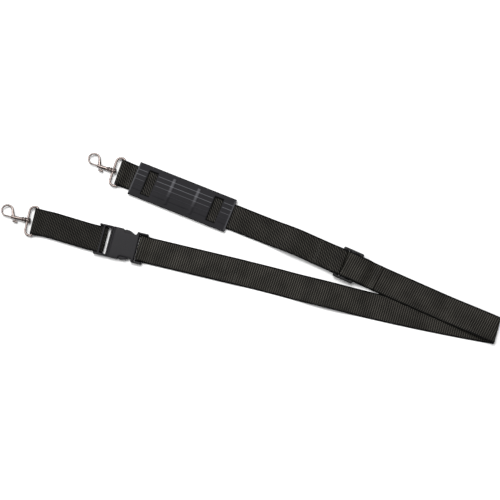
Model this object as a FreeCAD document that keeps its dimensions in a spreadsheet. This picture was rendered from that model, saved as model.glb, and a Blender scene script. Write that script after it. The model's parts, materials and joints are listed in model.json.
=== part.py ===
import FreeCAD, Part
import math
import os

# A two-ended shoulder strap for carrying an instrument: 38 mm webbing with a swivel
# bolt snap at each end, a rubber shoulder pad, a slide adjuster and a side-release
# buckle. It lies on a flat surface, doubled back in a narrow V about a rolled fold.
# +X runs towards the fold, +Y towards the pad's arm, +Z up from the surface.

V = FreeCAD.Vector
UP = V(0, 0, 1)
X_AXIS = V(1, 0, 0)
Y_AXIS = V(0, 1, 0)
# the fold's middle, which the strap is laid out from
FOLD = V(0, 0, 0)
doc = FreeCAD.newDocument("instrument_strap")

SIZES = [
    # webbing, in millimetres like every other length
    ("webbing_width", 38.0), ("webbing_thick", 1.6), ("layer_gap", 0.1),
    ("bar_gap", 0.15), ("moving_gap", 0.4), ("butt_gap", 0.05),
    # how the strap lies: slopes are degrees below the X axis, read towards the fold
    ("fold_radius", 3.4), ("lower_slope_fold", 10.2), ("lower_slope_mid", 15.4),
    ("lower_slope_buckle", 13.6), ("upper_slope_fold", 24.2), ("upper_slope_pad", 22.0),
    ("loop_a_slope", 17.6), ("short_slope_mid", 16.9), ("loop_b_slope", 12.0),
    ("lower_curved_run", 300.0), ("lower_straight_run", 55.0), ("buckle_tail", 145.0),
    ("upper_arch_run", 70.0), ("arch_height", 3.5), ("hump_margin", 4.0),
    ("hump_height", 5.0), ("fold_margin", 3.0), ("settle_run", 78.0),
    ("adjuster_from_fold", 225.0), ("adjuster_to_pad", 257.0), ("pad_to_loop", 96.0),
    ("short_strap_run", 102.0), ("hem_tail", 31.0), ("hem_flat", 10.0),
    ("adjuster_tail", 40.0), ("loop_tail", 18.0), ("wrap_taper", 15.0),
    # swivel loop
    ("loop_wire", 1.65), ("loop_side_gap", 0.5), ("loop_reach", 11.0),
    ("loop_corner", 7.0), ("bar_corner", 2.5), ("loop_rest", 4.7),
    ("boss_radius", 3.0), ("boss_half", 2.1), ("stem_radius", 1.5), ("stem_gap", 0.08),
    # swivel rivet and snap hook
    ("head_radius", 4.0), ("head_thick", 2.4), ("end_gap", 0.2), ("stem_depth", 2.0),
    ("barrel_radius", 3.3), ("barrel_end", 8.0), ("collar_radius", 3.8),
    ("collar_width", 1.6), ("shank_radius", 2.4), ("shank_end", 24.3),
    ("spine_run", 7.0), ("spine_root", 2.1), ("spine_back", 7.2), ("spine_side", 5.5),
    ("eye_reach", 31.7), ("eye_offset", 7.8), ("eye_inner", 6.5), ("eye_outer", 9.2),
    ("eye_thick", 3.0), ("gate_gap", 7.6), ("gate_depth", 4.0), ("nose_depth", 0.8),
    # bolt, thumb stud and spring inside the shank
    ("bolt_radius", 1.1), ("bolt_gap", 0.1), ("bolt_back", 16.0), ("bolt_travel", 7.6),
    ("stud_place", 17.2), ("stud_radius", 0.65), ("stud_gap", 0.1), ("stud_reach", 5.6),
    ("stud_bury", 0.6), ("stud_bar_radius", 1.5), ("stud_bar_length", 7.0),
    ("spring_radius", 0.9), ("spring_wire", 0.15), ("spring_turns", 8.0),
    ("spring_room", 0.1),
    # slide adjuster
    ("adjuster_rail", 3.6), ("adjuster_thick", 3.0), ("adjuster_side_gap", 0.4),
    ("outer_bar", 5.6), ("centre_bar", 6.2), ("wrap_gap", 0.3),
    ("adjuster_corner", 3.0), ("adjuster_lift", 4.0),
    # shoulder pad
    ("pad_length", 150.0), ("keeper_gap", 3.1), ("pad_top", 3.2), ("pad_gap", 0.35),
    ("pad_lift", 1.9), ("keeper_thick", 1.3), ("keeper_width", 12.0),
    ("keeper_wall", 3.2), ("window_width", 13.4), ("window_inset", 24.3),
    ("rib_side", 5.3), ("rib_width", 4.2), ("rib_height", 0.7),
    ("rib_inset", 56.0), ("line_width", 0.9), ("line_height", 0.45), ("line_pitch", 7.2),
    ("tab_line_inset", 1.5), ("tab_line_length", 13.0),
    # side-release buckle, with lengths counted from the male's webbing end
    ("rail_gap", 0.6), ("buckle_height", 10.4), ("buckle_wall", 1.7),
    ("buckle_clear", 0.35), ("buckle_length", 70.6), ("bar_bury", 1.0),
    ("rail_width", 2.6), ("rail_foot", 0.6), ("male_rail_drop", 0.8),
    ("female_rail_drop", 1.4), ("male_rail_end", 17.6), ("male_plate", 2.6),
    ("plate_overlap", 0.4), ("male_bar", 9.6), ("male_bar_radius", 1.6),
    ("male_rib", 5.6), ("male_rib_width", 2.6), ("male_rib_thick", 1.6),
    ("male_bar_height", 4.3), ("mouth", 20.4), ("window_start", 35.0),
    ("window_end", 55.0), ("waist_inset", 4.7), ("shell_end", 58.6), ("female_bar", 63.4),
    ("female_bar_radius", 2.0), ("female_bar_height", 4.3), ("tongue_width", 6.0),
    ("tongue_length", 28.0), ("tongue_thick", 4.0),
    # the prongs: insets count from the buckle's side, the rest from the window's start
    ("prong_root_inset", 8.7), ("prong_arm", 3.0), ("prong_thick", 5.4), ("prong_gap", 0.3),
    ("prong_catch", 0.6), ("prong_neck", 1.6), ("prong_inset", 0.2), ("prong_lip", 1.2),
    ("prong_crest", 3.0), ("prong_crest_end", 8.0), ("prong_crest_drop", 0.4),
    ("prong_fall", 13.0), ("prong_fall_drop", 2.6), ("prong_tip", 53.6),
    ("prong_tip_out", 6.0), ("prong_tip_in", 8.0), ("prong_inside", 12.0),
    ("prong_inside_step", 0.6),
    # stitching
    ("thread_radius", 0.28), ("thread_gap", 0.02), ("stitch_pitch", 3.2),
    ("stitch_length", 2.3), ("stitch_inset", 2.5), ("row_gap", 17.0),
    ("row_margin", 4.0), ("pair_gap", 3.0), ("loop_row_gap", 2.0), ("male_row_gap", 11.0),
    # how far cutting and joining solids run past the faces they meet
    ("past", 1.0),
]

sheet = doc.addObject("Spreadsheet::Sheet", "sizes")
for row, (alias, number) in enumerate(SIZES, 1):
    sheet.set(f"A{row}", alias)
    sheet.set(f"B{row}", str(number))
    sheet.setAlias(f"B{row}", alias)
doc.recompute()


def size(alias):
    """A driving size read back from the sheet."""
    return float(sheet.get(alias))


ALIASES = [alias for alias, _ in SIZES]

# widths and slots that follow the webbing they take
ADJUSTER_SLOT = "(adjuster_thick+2*bar_gap+2*webbing_thick+wrap_gap)"
ADJUSTER_LENGTH = f"(outer_bar*2+{ADJUSTER_SLOT}*2+centre_bar)"
ADJUSTER_WIDTH = "(webbing_width+2*adjuster_side_gap+2*adjuster_rail)"
PAD_WIDTH = "(webbing_width+2*keeper_gap+2*keeper_wall)"
BUCKLE_HALF = "(webbing_width/2+rail_gap+rail_width)"
PRONG_ROOT = f"({BUCKLE_HALF}-prong_root_inset)"
PRONG_OUT = f"({BUCKLE_HALF}-prong_inset)"
PLATE_START = "(male_rail_end-plate_overlap)"
HALF_SPAN = "(webbing_width/2+loop_side_gap+loop_wire)"
RIVET_END = "(boss_half+end_gap+stem_depth)"

BEND_STEPS = 8
CURVE_STEPS = 6
TURN_STEPS = 2
# an edge whose direction rises by more than this share is upright
UPRIGHT = 0.9
# the pad's raised lines either side of its middle one
SIDE_LINES = 2


def bind(expression):
    """Turn a formula written with size names into one that names the sheet."""
    text = expression
    for alias, _ in sorted(SIZES, key=lambda pair: -len(pair[0])):
        text = text.replace(alias, "\0" + str(ALIASES.index(alias)) + "\0")
    for number, alias in enumerate(ALIASES):
        text = text.replace(f"\0{number}\0", f"sizes.{alias}")
    return text


TURNED = {"x": (Y_AXIS, 90), "y": (X_AXIS, -90), "z": (UP, 0)}


def primitive(kind, at=("0", "0", "0"), along="z", **sizes):
    """A Part primitive whose sizes and place are formulas over the sheet."""
    thing = doc.addObject("Part::" + kind, kind.lower())
    axis, turn = TURNED[along]
    thing.Placement = FreeCAD.Placement(V(0, 0, 0), FreeCAD.Rotation(axis, turn))
    for name, formula in sizes.items():
        thing.setExpression(name, bind(formula))
    for letter, formula in zip("xyz", at):
        thing.setExpression(f"Placement.Base.{letter}", bind(formula))
    return thing


def block(x0, x1, y0, y1, z0, z1):
    """A box between six formulas."""
    return primitive(
        "Box", (x0, y0, z0), Length=f"({x1})-({x0})", Width=f"({y1})-({y0})",
        Height=f"({z1})-({z0})",
    )


def rod(radius, start, end, along="x", at=("0", "0")):
    """A cylinder from start to end along one axis; at gives its other two coordinates."""
    place = {
        "x": (start, at[0], at[1]),
        "y": (at[0], start, at[1]),
        "z": (at[0], at[1], start),
    }
    return primitive("Cylinder", place[along], along, Radius=radius, Height=f"({end})-({start})")


def fused(parts):
    """One object made of several that overlap."""
    whole = doc.addObject("Part::MultiFuse", "joined")
    whole.Shapes = parts
    whole.Refine = True
    return whole


def less(base, tools):
    """The base with every tool cut away."""
    cut = doc.addObject("Part::Cut", "cut")
    cut.Base = base
    cut.Tool = tools[0] if len(tools) == 1 else fused(tools)
    return cut


def prism(points, low, high):
    """A flat outline, given as formulas, raised from low to high along Z."""
    slab = doc.addObject("Part::Feature", "outline")
    corners = [V(worth(x), worth(y), worth(low)) for x, y in points]
    face = Part.Face(Part.makePolygon(corners + corners[:1]))
    slab.Shape = face.extrude(V(0, 0, worth(high) - worth(low)))
    return slab


def worth(formula):
    """The number that a formula over the size names comes to."""
    sheet.set("D1", "=" + "".join(formula.split()))
    sheet.recompute()
    return float(sheet.get("D1"))


NODES = []


def finished(thing, label, frame=FreeCAD.Placement()):
    """Name a sub-part and stand it in its place in the strap."""
    thing.Label = label
    thing.Placement = frame
    NODES.append(thing)
    return thing


# ------------------------------------------------------------------ how webbing runs


class Walk:
    """A band's middle line, walked as runs on a slope and bends round bars."""

    def __init__(self, place, heading, backward=False):
        self.place = place
        self.heading = heading
        self.sense = -1 if backward else 1
        self.sections = []

    def along(self):
        angle = math.radians(self.heading)
        return V(math.cos(angle), math.sin(angle), 0)

    def across(self):
        return UP.cross(self.along())

    def note(self, travel):
        self.sections.append((V(self.place), travel, self.across(), size("webbing_width") / 2))

    def run(self, length, turn=0.0, rise=0.0, hump=0.0, steps=1):
        """Go on by length, turning in plan and rising on a soft S, or over a hump."""
        start = self.place.z
        heading = self.heading
        if not self.sections:
            self.note(self.along() * self.sense)
        for step in range(1, steps + 1):
            share = step / steps
            self.heading = heading + turn * (share - 0.5 / steps)
            self.place = self.place + self.along() * (self.sense * length / steps)
            self.heading = heading + turn * share
            lift = rise * share * share * (3 - 2 * share) + hump * math.sin(math.pi * share) ** 2
            pitch = rise * 6 * share * (1 - share) + hump * math.pi * math.sin(2 * math.pi * share)
            self.place.z = start + lift
            self.note((self.along() * self.sense + UP * (pitch / length)).normalize())

    def bend(self, radius, sweep):
        """Go round a bar: half a turn up (180) or down (-180) about it."""
        side = 1 if sweep > 0 else -1
        centre = self.place + UP * (radius * side)
        forward = self.along() * self.sense
        for step in range(1, BEND_STEPS + 1):
            angle = math.pi * step / BEND_STEPS
            self.place = centre + forward * (radius * math.sin(angle))
            self.place = self.place - UP * (side * radius * math.cos(angle))
            self.note(forward * math.cos(angle) + UP * (side * math.sin(angle)))
        self.sense = -self.sense


def band(sections):
    """The solid that a strip of webbing fills, lofted through its cross-sections."""
    half = size("webbing_thick") / 2
    wires = []
    for place, travel, across, reach in sections:
        normal = travel.cross(across).normalize() * half
        left = across * reach
        corners = [place + left + normal, place + left - normal]
        corners += [place - left - normal, place - left + normal]
        wires.append(Part.makePolygon(corners + corners[:1]))
    solid = Part.makeLoft(wires, True, True)
    if solid.Volume < 0:
        solid.reverse()
    return solid


def webbing(label, sections):
    feature = doc.addObject("Part::Feature", label)
    feature.Shape = band(sections)
    feature.Label = label
    NODES.append(feature)
    return feature


def level(place, z):
    return V(place.x, place.y, z)


def facing(place, heading, z):
    """A frame at a plan point, its X along the heading."""
    return FreeCAD.Placement(level(place, z), FreeCAD.Rotation(UP, heading))


thick = size("webbing_thick")
layer = thick + size("layer_gap")
on_floor = thick / 2
stacked = on_floor + layer
half_apex = (size("upper_slope_fold") - size("lower_slope_fold")) / 2
fold_lift = on_floor + 2 * size("fold_radius")

# the upper arm leaves the fold towards the pad, and carries the adjuster
upper_heading = 180 - size("upper_slope_fold")
lower_heading = 180 - size("lower_slope_fold")
crease = FreeCAD.Rotation(UP, (upper_heading + lower_heading) / 2 - 90).multVec(X_AXIS)
outward = crease.cross(UP)
drift = math.pi * size("fold_radius") / 2 * math.tan(math.radians(half_apex))

adjuster_slot = worth(ADJUSTER_SLOT)
half_adjuster = worth(ADJUSTER_LENGTH) / 2
pad_side = FreeCAD.Rotation(UP, upper_heading).multVec(X_AXIS)
adjuster_place = pad_side * size("adjuster_from_fold")
frame_low = stacked + on_floor + size("adjuster_lift") - thick
frame_mid = frame_low + size("adjuster_thick") / 2
wrap_centre = size("adjuster_thick") / 2 + size("bar_gap") + thick / 2


def fold_sections():
    """The half turn about the fold's axis, as generators parallel to the crease."""
    radius = size("fold_radius")
    lean = math.radians(half_apex)
    found = []
    steps = 2 * BEND_STEPS
    for step in range(steps + 1):
        angle = math.pi / 2 - math.pi * step / steps
        shift = drift * (1 - 2 * step / steps)
        place = crease * shift + outward * (radius * math.cos(angle))
        place.z = on_floor + radius + radius * math.sin(angle)
        travel = outward * math.sin(angle) - UP * math.cos(angle)
        found.append((place, travel, crease, size("webbing_width") / 2 / math.cos(lean)))
    return found


def parting(curving):
    """How far from the fold the lower arm comes out from under the upper one.

    The arms leave the fold at an angle that closes by curving for each millimetre, so
    their middles are s (angle - s curving / 2) apart after s, which is solved for the width.
    """
    angle = math.radians(2 * half_apex)
    return (angle - math.sqrt(angle ** 2 - 2 * curving * size("webbing_width"))) / curving


def main_strap_sections():
    """Hem, adjuster's centre bar, upper arm, fold, lower arm, buckle bar, sewn tail."""
    reach = size("adjuster_from_fold") - half_adjuster - size("hem_tail")
    start = level(pad_side * reach, stacked + layer)
    walk = Walk(start, upper_heading)
    top = frame_mid + wrap_centre
    climb = size("hem_tail") - size("outer_bar") - size("hem_flat")
    walk.run(size("hem_flat"))
    walk.run(climb, rise=top - start.z, steps=CURVE_STEPS)
    walk.run(half_adjuster + size("outer_bar") + size("centre_bar") / 2)
    walk.bend(wrap_centre, -180)
    walk.run(half_adjuster + size("centre_bar") / 2)
    low = frame_mid - wrap_centre
    walk.run(size("hem_tail") - size("hem_flat"), rise=stacked - low, steps=CURVE_STEPS)
    walk.run(size("hem_flat"))
    clear_of_fold = size("webbing_width") / 2 * math.tan(math.radians(half_apex))
    clear_of_fold += size("fold_margin")
    left = walk.place.dot(pad_side) - clear_of_fold
    walk.run(left - size("settle_run"))
    walk.run(size("settle_run"), rise=fold_lift - stacked, steps=CURVE_STEPS)
    upper = walk.sections
    low_start = crease * -drift
    lower_side = FreeCAD.Rotation(UP, lower_heading).multVec(X_AXIS)
    lower = Walk(level(low_start + lower_side * clear_of_fold, on_floor), lower_heading)
    bend = size("lower_slope_mid") - size("lower_slope_fold")
    turn_rate = -bend / size("lower_curved_run")
    hump_start = parting(-math.radians(turn_rate)) + size("hump_margin")
    plain = hump_start - clear_of_fold
    hump_run = size("lower_curved_run") - hump_start
    lower.run(plain, turn=turn_rate * plain, steps=CURVE_STEPS)
    lower.run(
        hump_run, turn=turn_rate * hump_run, hump=size("hump_height"), steps=2 * CURVE_STEPS
    )
    ease = size("lower_slope_mid") - size("lower_slope_buckle")
    lower.run(size("lower_straight_run"), turn=ease, steps=TURN_STEPS)
    lower.run(size("wrap_taper"), rise=layer, steps=CURVE_STEPS)
    lower.run(size("buckle_tail") - size("wrap_taper"))
    around = size("female_bar_radius") + size("bar_gap") + thick / 2
    bar_top = size("female_bar_height") + around
    lower.run(size("wrap_taper"), rise=bar_top - stacked, steps=CURVE_STEPS)
    bar = V(lower.place)
    lower.bend(around, -180)
    lower.run(size("wrap_taper"), rise=on_floor - lower.place.z, steps=CURVE_STEPS)
    lower.run(size("buckle_tail") - size("wrap_taper"))
    flipped = [(p, t, a * -1, w) for p, t, a, w in lower.sections]
    upper_flipped = [(p, t, a * -1, w) for p, t, a, w in upper]
    return upper_flipped + fold_sections() + flipped, bar, lower.heading


main_sections, female_bar_at, buckle_heading = main_strap_sections()
webbing("main_strap", main_sections)


def pad_strap_sections():
    """Adjuster's end bar, the arch, the stretch under the pad, and loop A's bar."""
    bar = adjuster_place + pad_side * (size("centre_bar") / 2 + adjuster_slot)
    round_bar = bar + pad_side * (size("outer_bar") / 2)
    start = round_bar + pad_side * size("adjuster_tail")
    walk = Walk(level(start, frame_mid - layer / 2), upper_heading, backward=True)
    spread = wrap_centre - layer / 2
    reach = size("adjuster_tail")
    flat = size("outer_bar") / 2
    walk.run(reach - flat - size("wrap_taper"))
    walk.run(size("wrap_taper"), rise=-spread, steps=CURVE_STEPS)
    walk.run(size("outer_bar"))
    walk.bend(wrap_centre, 180)
    walk.run(size("outer_bar"))
    walk.run(size("wrap_taper"), rise=-spread, steps=CURVE_STEPS)
    walk.run(reach - flat - size("wrap_taper"))
    flat_height = size("pad_lift") + thick / 2
    fall = flat_height - walk.place.z
    turn = size("upper_slope_fold") - size("upper_slope_pad")
    walk.run(
        size("upper_arch_run"), turn=turn, rise=fall, hump=size("arch_height"),
        steps=2 * CURVE_STEPS,
    )
    gone = size("adjuster_tail") + size("upper_arch_run") + half_adjuster - size("outer_bar") / 2
    walk.run(size("adjuster_to_pad") - gone)
    pad_at = V(walk.place)
    around = size("loop_wire") + size("moving_gap") + thick / 2
    ease = size("upper_slope_pad") - size("loop_a_slope")
    walk.run(size("pad_to_loop") - size("wrap_taper"))
    walk.run(
        size("wrap_taper"), turn=ease, rise=size("loop_rest") + around - flat_height,
        steps=CURVE_STEPS,
    )
    bar_a = V(walk.place)
    heading_a = walk.heading
    walk.bend(around, -180)
    under = flat_height - layer - walk.place.z
    walk.run(size("wrap_taper"), turn=-ease, rise=under, steps=CURVE_STEPS)
    walk.run(size("loop_tail") - size("wrap_taper"))
    return walk.sections, pad_at, bar_a, heading_a


pad_sections, pad_at, loop_a_bar, loop_a_heading = pad_strap_sections()
webbing("pad_strap", pad_sections)

# ------------------------------------------------------------------ the buckle's place

buckle_axis = FreeCAD.Rotation(UP, buckle_heading).multVec(X_AXIS)
male_end = female_bar_at + buckle_axis * size("female_bar")
short_heading = 180 - size("short_slope_mid")
buckle_frame = facing(male_end, buckle_heading + 180, 0)


def short_strap_sections():
    """A doubled band from the male's bar to loop B's bar, its ends meeting underneath."""
    male_around = size("male_bar_radius") + size("bar_gap") + thick / 2
    loop_around = size("loop_wire") + size("moving_gap") + thick / 2
    bar = male_end - buckle_axis * size("male_bar")
    taper = size("wrap_taper")
    middle = size("short_strap_run") - 4 * taper
    first = size("short_slope_mid") - size("lower_slope_buckle")
    last = size("short_slope_mid") - size("loop_b_slope")
    upper = size("male_bar_height") + layer / 2
    walk = Walk(level(bar, size("male_bar_height") + male_around), buckle_heading)
    walk.run(taper, rise=upper - walk.place.z, steps=CURVE_STEPS)
    walk.run(taper, turn=-first, steps=TURN_STEPS)
    walk.run(middle)
    walk.run(taper, turn=last, steps=TURN_STEPS)
    walk.run(taper, rise=size("loop_rest") + loop_around - upper, steps=CURVE_STEPS)
    bar_b = V(walk.place)
    heading_b = walk.heading
    walk.bend(loop_around, -180)
    lower = size("male_bar_height") - layer / 2
    walk.run(taper, rise=lower - walk.place.z, steps=CURVE_STEPS)
    walk.run(taper, turn=-last, steps=TURN_STEPS)
    walk.run(middle)
    walk.run(taper, turn=first, steps=TURN_STEPS)
    walk.run(taper, rise=size("male_bar_height") - male_around - lower, steps=CURVE_STEPS)
    walk.bend(male_around, 180)
    last_place, last_travel, across, reach = walk.sections[-1]
    walk.sections[-1] = (last_place - last_travel * size("butt_gap"), last_travel, across, reach)
    return walk.sections, bar_b, heading_b


short_sections, loop_b_bar, loop_b_heading = short_strap_sections()
webbing("short_strap", short_sections)

# ------------------------------------------------------------------ swivel loops and snaps
# Both work in a frame whose X runs from the loop's outer arm towards the hook's eye.


def swivel_loop(label, frame):
    """A square ring of round wire: bar, two sides, outer arm with a bored boss."""
    side = HALF_SPAN
    parts = [
        rod("loop_wire", f"-({side}-bar_corner)", f"{side}-bar_corner", "y", ("-loop_reach", "0")),
        rod("loop_wire", f"-({side}-loop_corner)", f"{side}-loop_corner", "y", ("0", "0")),
    ]
    for sign in ("", "-"):
        parts.append(
            rod("loop_wire", "bar_corner-loop_reach", "-loop_corner", "x", (f"{sign}{side}", "0"))
        )
    corners = [("-loop_corner", "loop_corner", 1), ("-loop_reach+bar_corner", "bar_corner", -1)]
    for place, radius, ahead in corners:
        for sign in (1, -1):
            mark = "" if sign > 0 else "-"
            ring = primitive(
                "Torus", (place, f"{mark}({side}-{radius})", "0"),
                Radius1=radius, Radius2="loop_wire",
            )
            ring.Angle3 = 90
            start = {(1, 1): 0, (1, -1): -90, (-1, 1): 90, (-1, -1): 180}[(ahead, sign)]
            ring.Placement.Rotation = FreeCAD.Rotation(UP, start)
            parts.append(ring)
    parts.append(rod("boss_radius", "-boss_half", "boss_half"))
    bore = rod("stem_radius+stem_gap", "-boss_half-past", "boss_half+past")
    return finished(less(fused(parts), [bore]), label, frame)


def snap_hook(label, frame):
    """Eye, spine, bored and slotted shank, and the collared barrel that swivels."""
    eye_y = "-eye_offset"
    flat = ("-eye_thick/2", "eye_thick/2")
    ring = rod("eye_outer", flat[0], flat[1], "z", ("eye_reach", eye_y))
    spine = prism(
        [
            ("shank_end-spine_run", "-spine_root"),
            ("eye_reach-spine_back", "-eye_offset-spine_side"),
            ("eye_reach", eye_y),
            ("shank_end", "-spine_root"),
            ("shank_end", "0"),
            ("shank_end-spine_run", "0"),
        ],
        flat[0], flat[1],
    )
    body = fused([
        ring, spine,
        rod("shank_radius", "barrel_end-past", "shank_end"),
        rod("barrel_radius", "boss_half+end_gap", "barrel_end"),
        rod("collar_radius", "boss_half+end_gap", "boss_half+end_gap+collar_width"),
        rod("collar_radius", "barrel_end-collar_width", "barrel_end"),
    ])
    cuts = [
        rod("eye_inner", "-eye_outer", "eye_outer", "z", ("eye_reach", eye_y)),
        block(
            "shank_end", "shank_end+gate_gap", "-eye_offset+gate_depth", "eye_outer",
            "-eye_outer", "eye_outer",
        ),
        rod("bolt_radius+bolt_gap", RIVET_END, "shank_end+past"),
        rod("bolt_radius+bolt_gap", "shank_end+gate_gap-past", "shank_end+gate_gap+nose_depth"),
        rod("stem_radius", "0", RIVET_END),
        block(
            "stud_place-bolt_travel-stud_radius-stud_gap",
            "stud_place+stud_radius+stud_gap", "0", "collar_radius+past",
            "-stud_radius-stud_gap", "stud_radius+stud_gap",
        ),
    ]
    return finished(less(body, cuts), label, frame)


def swivel_rivet(label, frame):
    """A headed pin: its head inside the loop, its stem fixed in the barrel."""
    head_face = "-boss_half-end_gap"
    parts = [
        rod("stem_radius", head_face, RIVET_END),
        rod("head_radius", f"{head_face}-head_thick", head_face),
    ]
    return finished(fused(parts), label, frame)


def snap_bolt(label, frame):
    """The plunger that closes the eye, cross-drilled for its thumb stud."""
    shaft = rod("bolt_radius", "bolt_back", "shank_end+gate_gap+nose_depth-bolt_gap")
    hole = rod("stud_radius", "-eye_outer", "eye_outer", "y", ("stud_place", "0"))
    return finished(less(shaft, [hole]), label, frame)


def thumb_stud(label, frame):
    """A stem through the bolt with a crossbar for the thumb."""
    stem = rod("stud_radius", "-stud_bury", "stud_reach", "y", ("stud_place", "0"))
    bar = rod(
        "stud_bar_radius", "stud_place-stud_bar_length/2", "stud_place+stud_bar_length/2",
        "x", ("stud_reach", "0"),
    )
    return finished(fused([stem, bar]), label, frame)


def bolt_spring(label, frame):
    """A fine compression spring behind the bolt, inside the shank."""
    room = size("spring_wire") + size("spring_room")
    start = worth(RIVET_END) + room
    span = size("bolt_back") - room - start
    turns = size("spring_turns")
    helix = Part.makeHelix(span / turns, span, size("spring_radius"))
    ring = Part.Wire(
        Part.makeCircle(size("spring_wire"), V(size("spring_radius"), 0, 0), Y_AXIS)
    )
    spring = doc.addObject("Part::Feature", "spring")
    spring.Shape = Part.Wire(helix.Edges).makePipeShell([ring], True, True)
    along_shank = FreeCAD.Placement(V(start, 0, 0), FreeCAD.Rotation(Y_AXIS, 90))
    return finished(spring, label, frame.multiply(along_shank))


def hang_snap(side, bar, heading):
    """One loop with its swivel snap, held by the webbing's bar loop."""
    out = FreeCAD.Rotation(UP, heading).multVec(X_AXIS)
    frame = facing(bar + out * size("loop_reach"), heading, size("loop_rest"))
    swivel_loop(f"swivel_loop_{side}", frame)
    swivel_rivet(f"swivel_rivet_{side}", frame)
    snap_hook(f"snap_hook_{side}", frame)
    snap_bolt(f"snap_bolt_{side}", frame)
    thumb_stud(f"thumb_stud_{side}", frame)
    bolt_spring(f"bolt_spring_{side}", frame)
    return frame


snap_a_frame = hang_snap("a", loop_a_bar, loop_a_heading)
snap_b_frame = hang_snap("b", loop_b_bar, loop_b_heading)

# ------------------------------------------------------------------ slide adjuster


def slide_adjuster():
    """A flat frame of three bars, with its corners rounded in plan."""
    plate = block(
        f"-{ADJUSTER_LENGTH}/2", f"{ADJUSTER_LENGTH}/2", f"-{ADJUSTER_WIDTH}/2",
        f"{ADJUSTER_WIDTH}/2", "-adjuster_thick/2", "adjuster_thick/2",
    )
    doc.recompute()
    round_off = doc.addObject("Part::Fillet", "rounded")
    round_off.Base = plate
    upright = [
        number for number, edge in enumerate(plate.Shape.Edges, 1)
        if abs(edge.tangentAt(edge.FirstParameter).z) > UPRIGHT
    ]
    radius = size("adjuster_corner")
    round_off.Edges = [(number, radius, radius) for number in upright]
    window = "(webbing_width/2+adjuster_side_gap)"
    slots = [
        block(
            start, f"{start}+{ADJUSTER_SLOT}", f"-{window}", window,
            "-adjuster_thick", "adjuster_thick",
        )
        for start in ("centre_bar/2", f"-centre_bar/2-{ADJUSTER_SLOT}")
    ]
    return less(round_off, slots)


adjuster_frame = facing(adjuster_place, upper_heading, frame_mid)
finished(slide_adjuster(), "slide_adjuster", adjuster_frame)

# ------------------------------------------------------------------ shoulder pad


def shoulder_pad():
    """A rubber plate over the webbing, with windows and keepers that hold it on."""
    top = "pad_gap+webbing_thick/2"
    plate = block(
        "-pad_length/2", "pad_length/2", f"-{PAD_WIDTH}/2", f"{PAD_WIDTH}/2",
        top, f"{top}+pad_top",
    )
    raised = []
    for sign in ("", "-"):
        middle = f"{sign}(pad_length/2-window_inset)"
        raised.append(
            block(
                f"{sign}(pad_length/2-rib_inset)-rib_width/2",
                f"{sign}(pad_length/2-rib_inset)+rib_width/2",
                f"rib_side-{PAD_WIDTH}/2", f"{PAD_WIDTH}/2-rib_side", f"{top}+pad_top-past",
                f"{top}+pad_top+rib_height",
            )
        )
        for flank in ("", "-"):
            edge = f"{flank}({PAD_WIDTH}/2-keeper_wall/2)"
            raised.append(
                block(
                    f"{middle}-keeper_width/2", f"{middle}+keeper_width/2",
                    f"{edge}-keeper_wall/2", f"{edge}+keeper_wall/2",
                    "-pad_gap-webbing_thick/2-keeper_thick", f"{top}+past",
                )
            )
        raised.append(
            block(
                f"{middle}-keeper_width/2", f"{middle}+keeper_width/2",
                f"-{PAD_WIDTH}/2", f"{PAD_WIDTH}/2",
                "-pad_gap-webbing_thick/2-keeper_thick", "-pad_gap-webbing_thick/2",
            )
        )
    between = "pad_length/2-window_inset-window_width"
    tab = "pad_length/2-tab_line_inset"
    lanes = [
        (f"-({between})", between), (f"{tab}-tab_line_length", tab),
        (f"-({tab})", f"tab_line_length-({tab})"),
    ]
    for start, end in lanes:
        for place in range(-SIDE_LINES, SIDE_LINES + 1):
            raised.append(
                block(
                    start, end, f"{place}*line_pitch-line_width/2",
                    f"{place}*line_pitch+line_width/2", f"{top}+pad_top-past",
                    f"{top}+pad_top+line_height",
                )
            )
    windows = [
        block(
            f"{sign}(pad_length/2-window_inset)-window_width/2",
            f"{sign}(pad_length/2-window_inset)+window_width/2",
            "-webbing_width/2", "webbing_width/2", "0", f"{top}+pad_top+past",
        )
        for sign in ("", "-")
    ]
    return less(fused([plate] + raised), windows)


pad_heading = 180 - size("upper_slope_pad")
pad_frame = facing(pad_at, pad_heading, pad_at.z)
finished(shoulder_pad(), "shoulder_pad", pad_frame)

# ------------------------------------------------------------------ side-release buckle
# X runs from the male's webbing end to the female's; Y is across; Z up from the surface.


def buckle_female():
    """A hollow housing with side windows, a waist, and rails that hold a webbing bar."""
    half = BUCKLE_HALF
    waist = f"({half}-waist_inset)"
    shell = fused([
        block("mouth", "window_start", f"-{half}", half, "0", "buckle_height"),
        block("window_start-past", "window_end+past", f"-{waist}", waist, "0", "buckle_height"),
        block("window_end", "shell_end", f"-{half}", half, "0", "buckle_height"),
    ])
    hollow = [
        block(
            "mouth-past", "window_end", f"-{half}+buckle_wall", f"{half}-buckle_wall",
            "buckle_wall", "buckle_height-buckle_wall",
        ),
    ]
    parts = [less(shell, hollow)]
    inner = f"{half}-rail_width"
    for low, high in ((f"-{half}", f"-({inner})"), (inner, half)):
        parts.append(
            block(
                "shell_end-past", "buckle_length", low, high, "rail_foot",
                "buckle_height-female_rail_drop",
            )
        )
    parts.append(
        rod("female_bar_radius", f"-{half}+bar_bury", f"{half}-bar_bury", "y",
            ("female_bar", "female_bar_height"))
    )
    return fused(parts)


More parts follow.
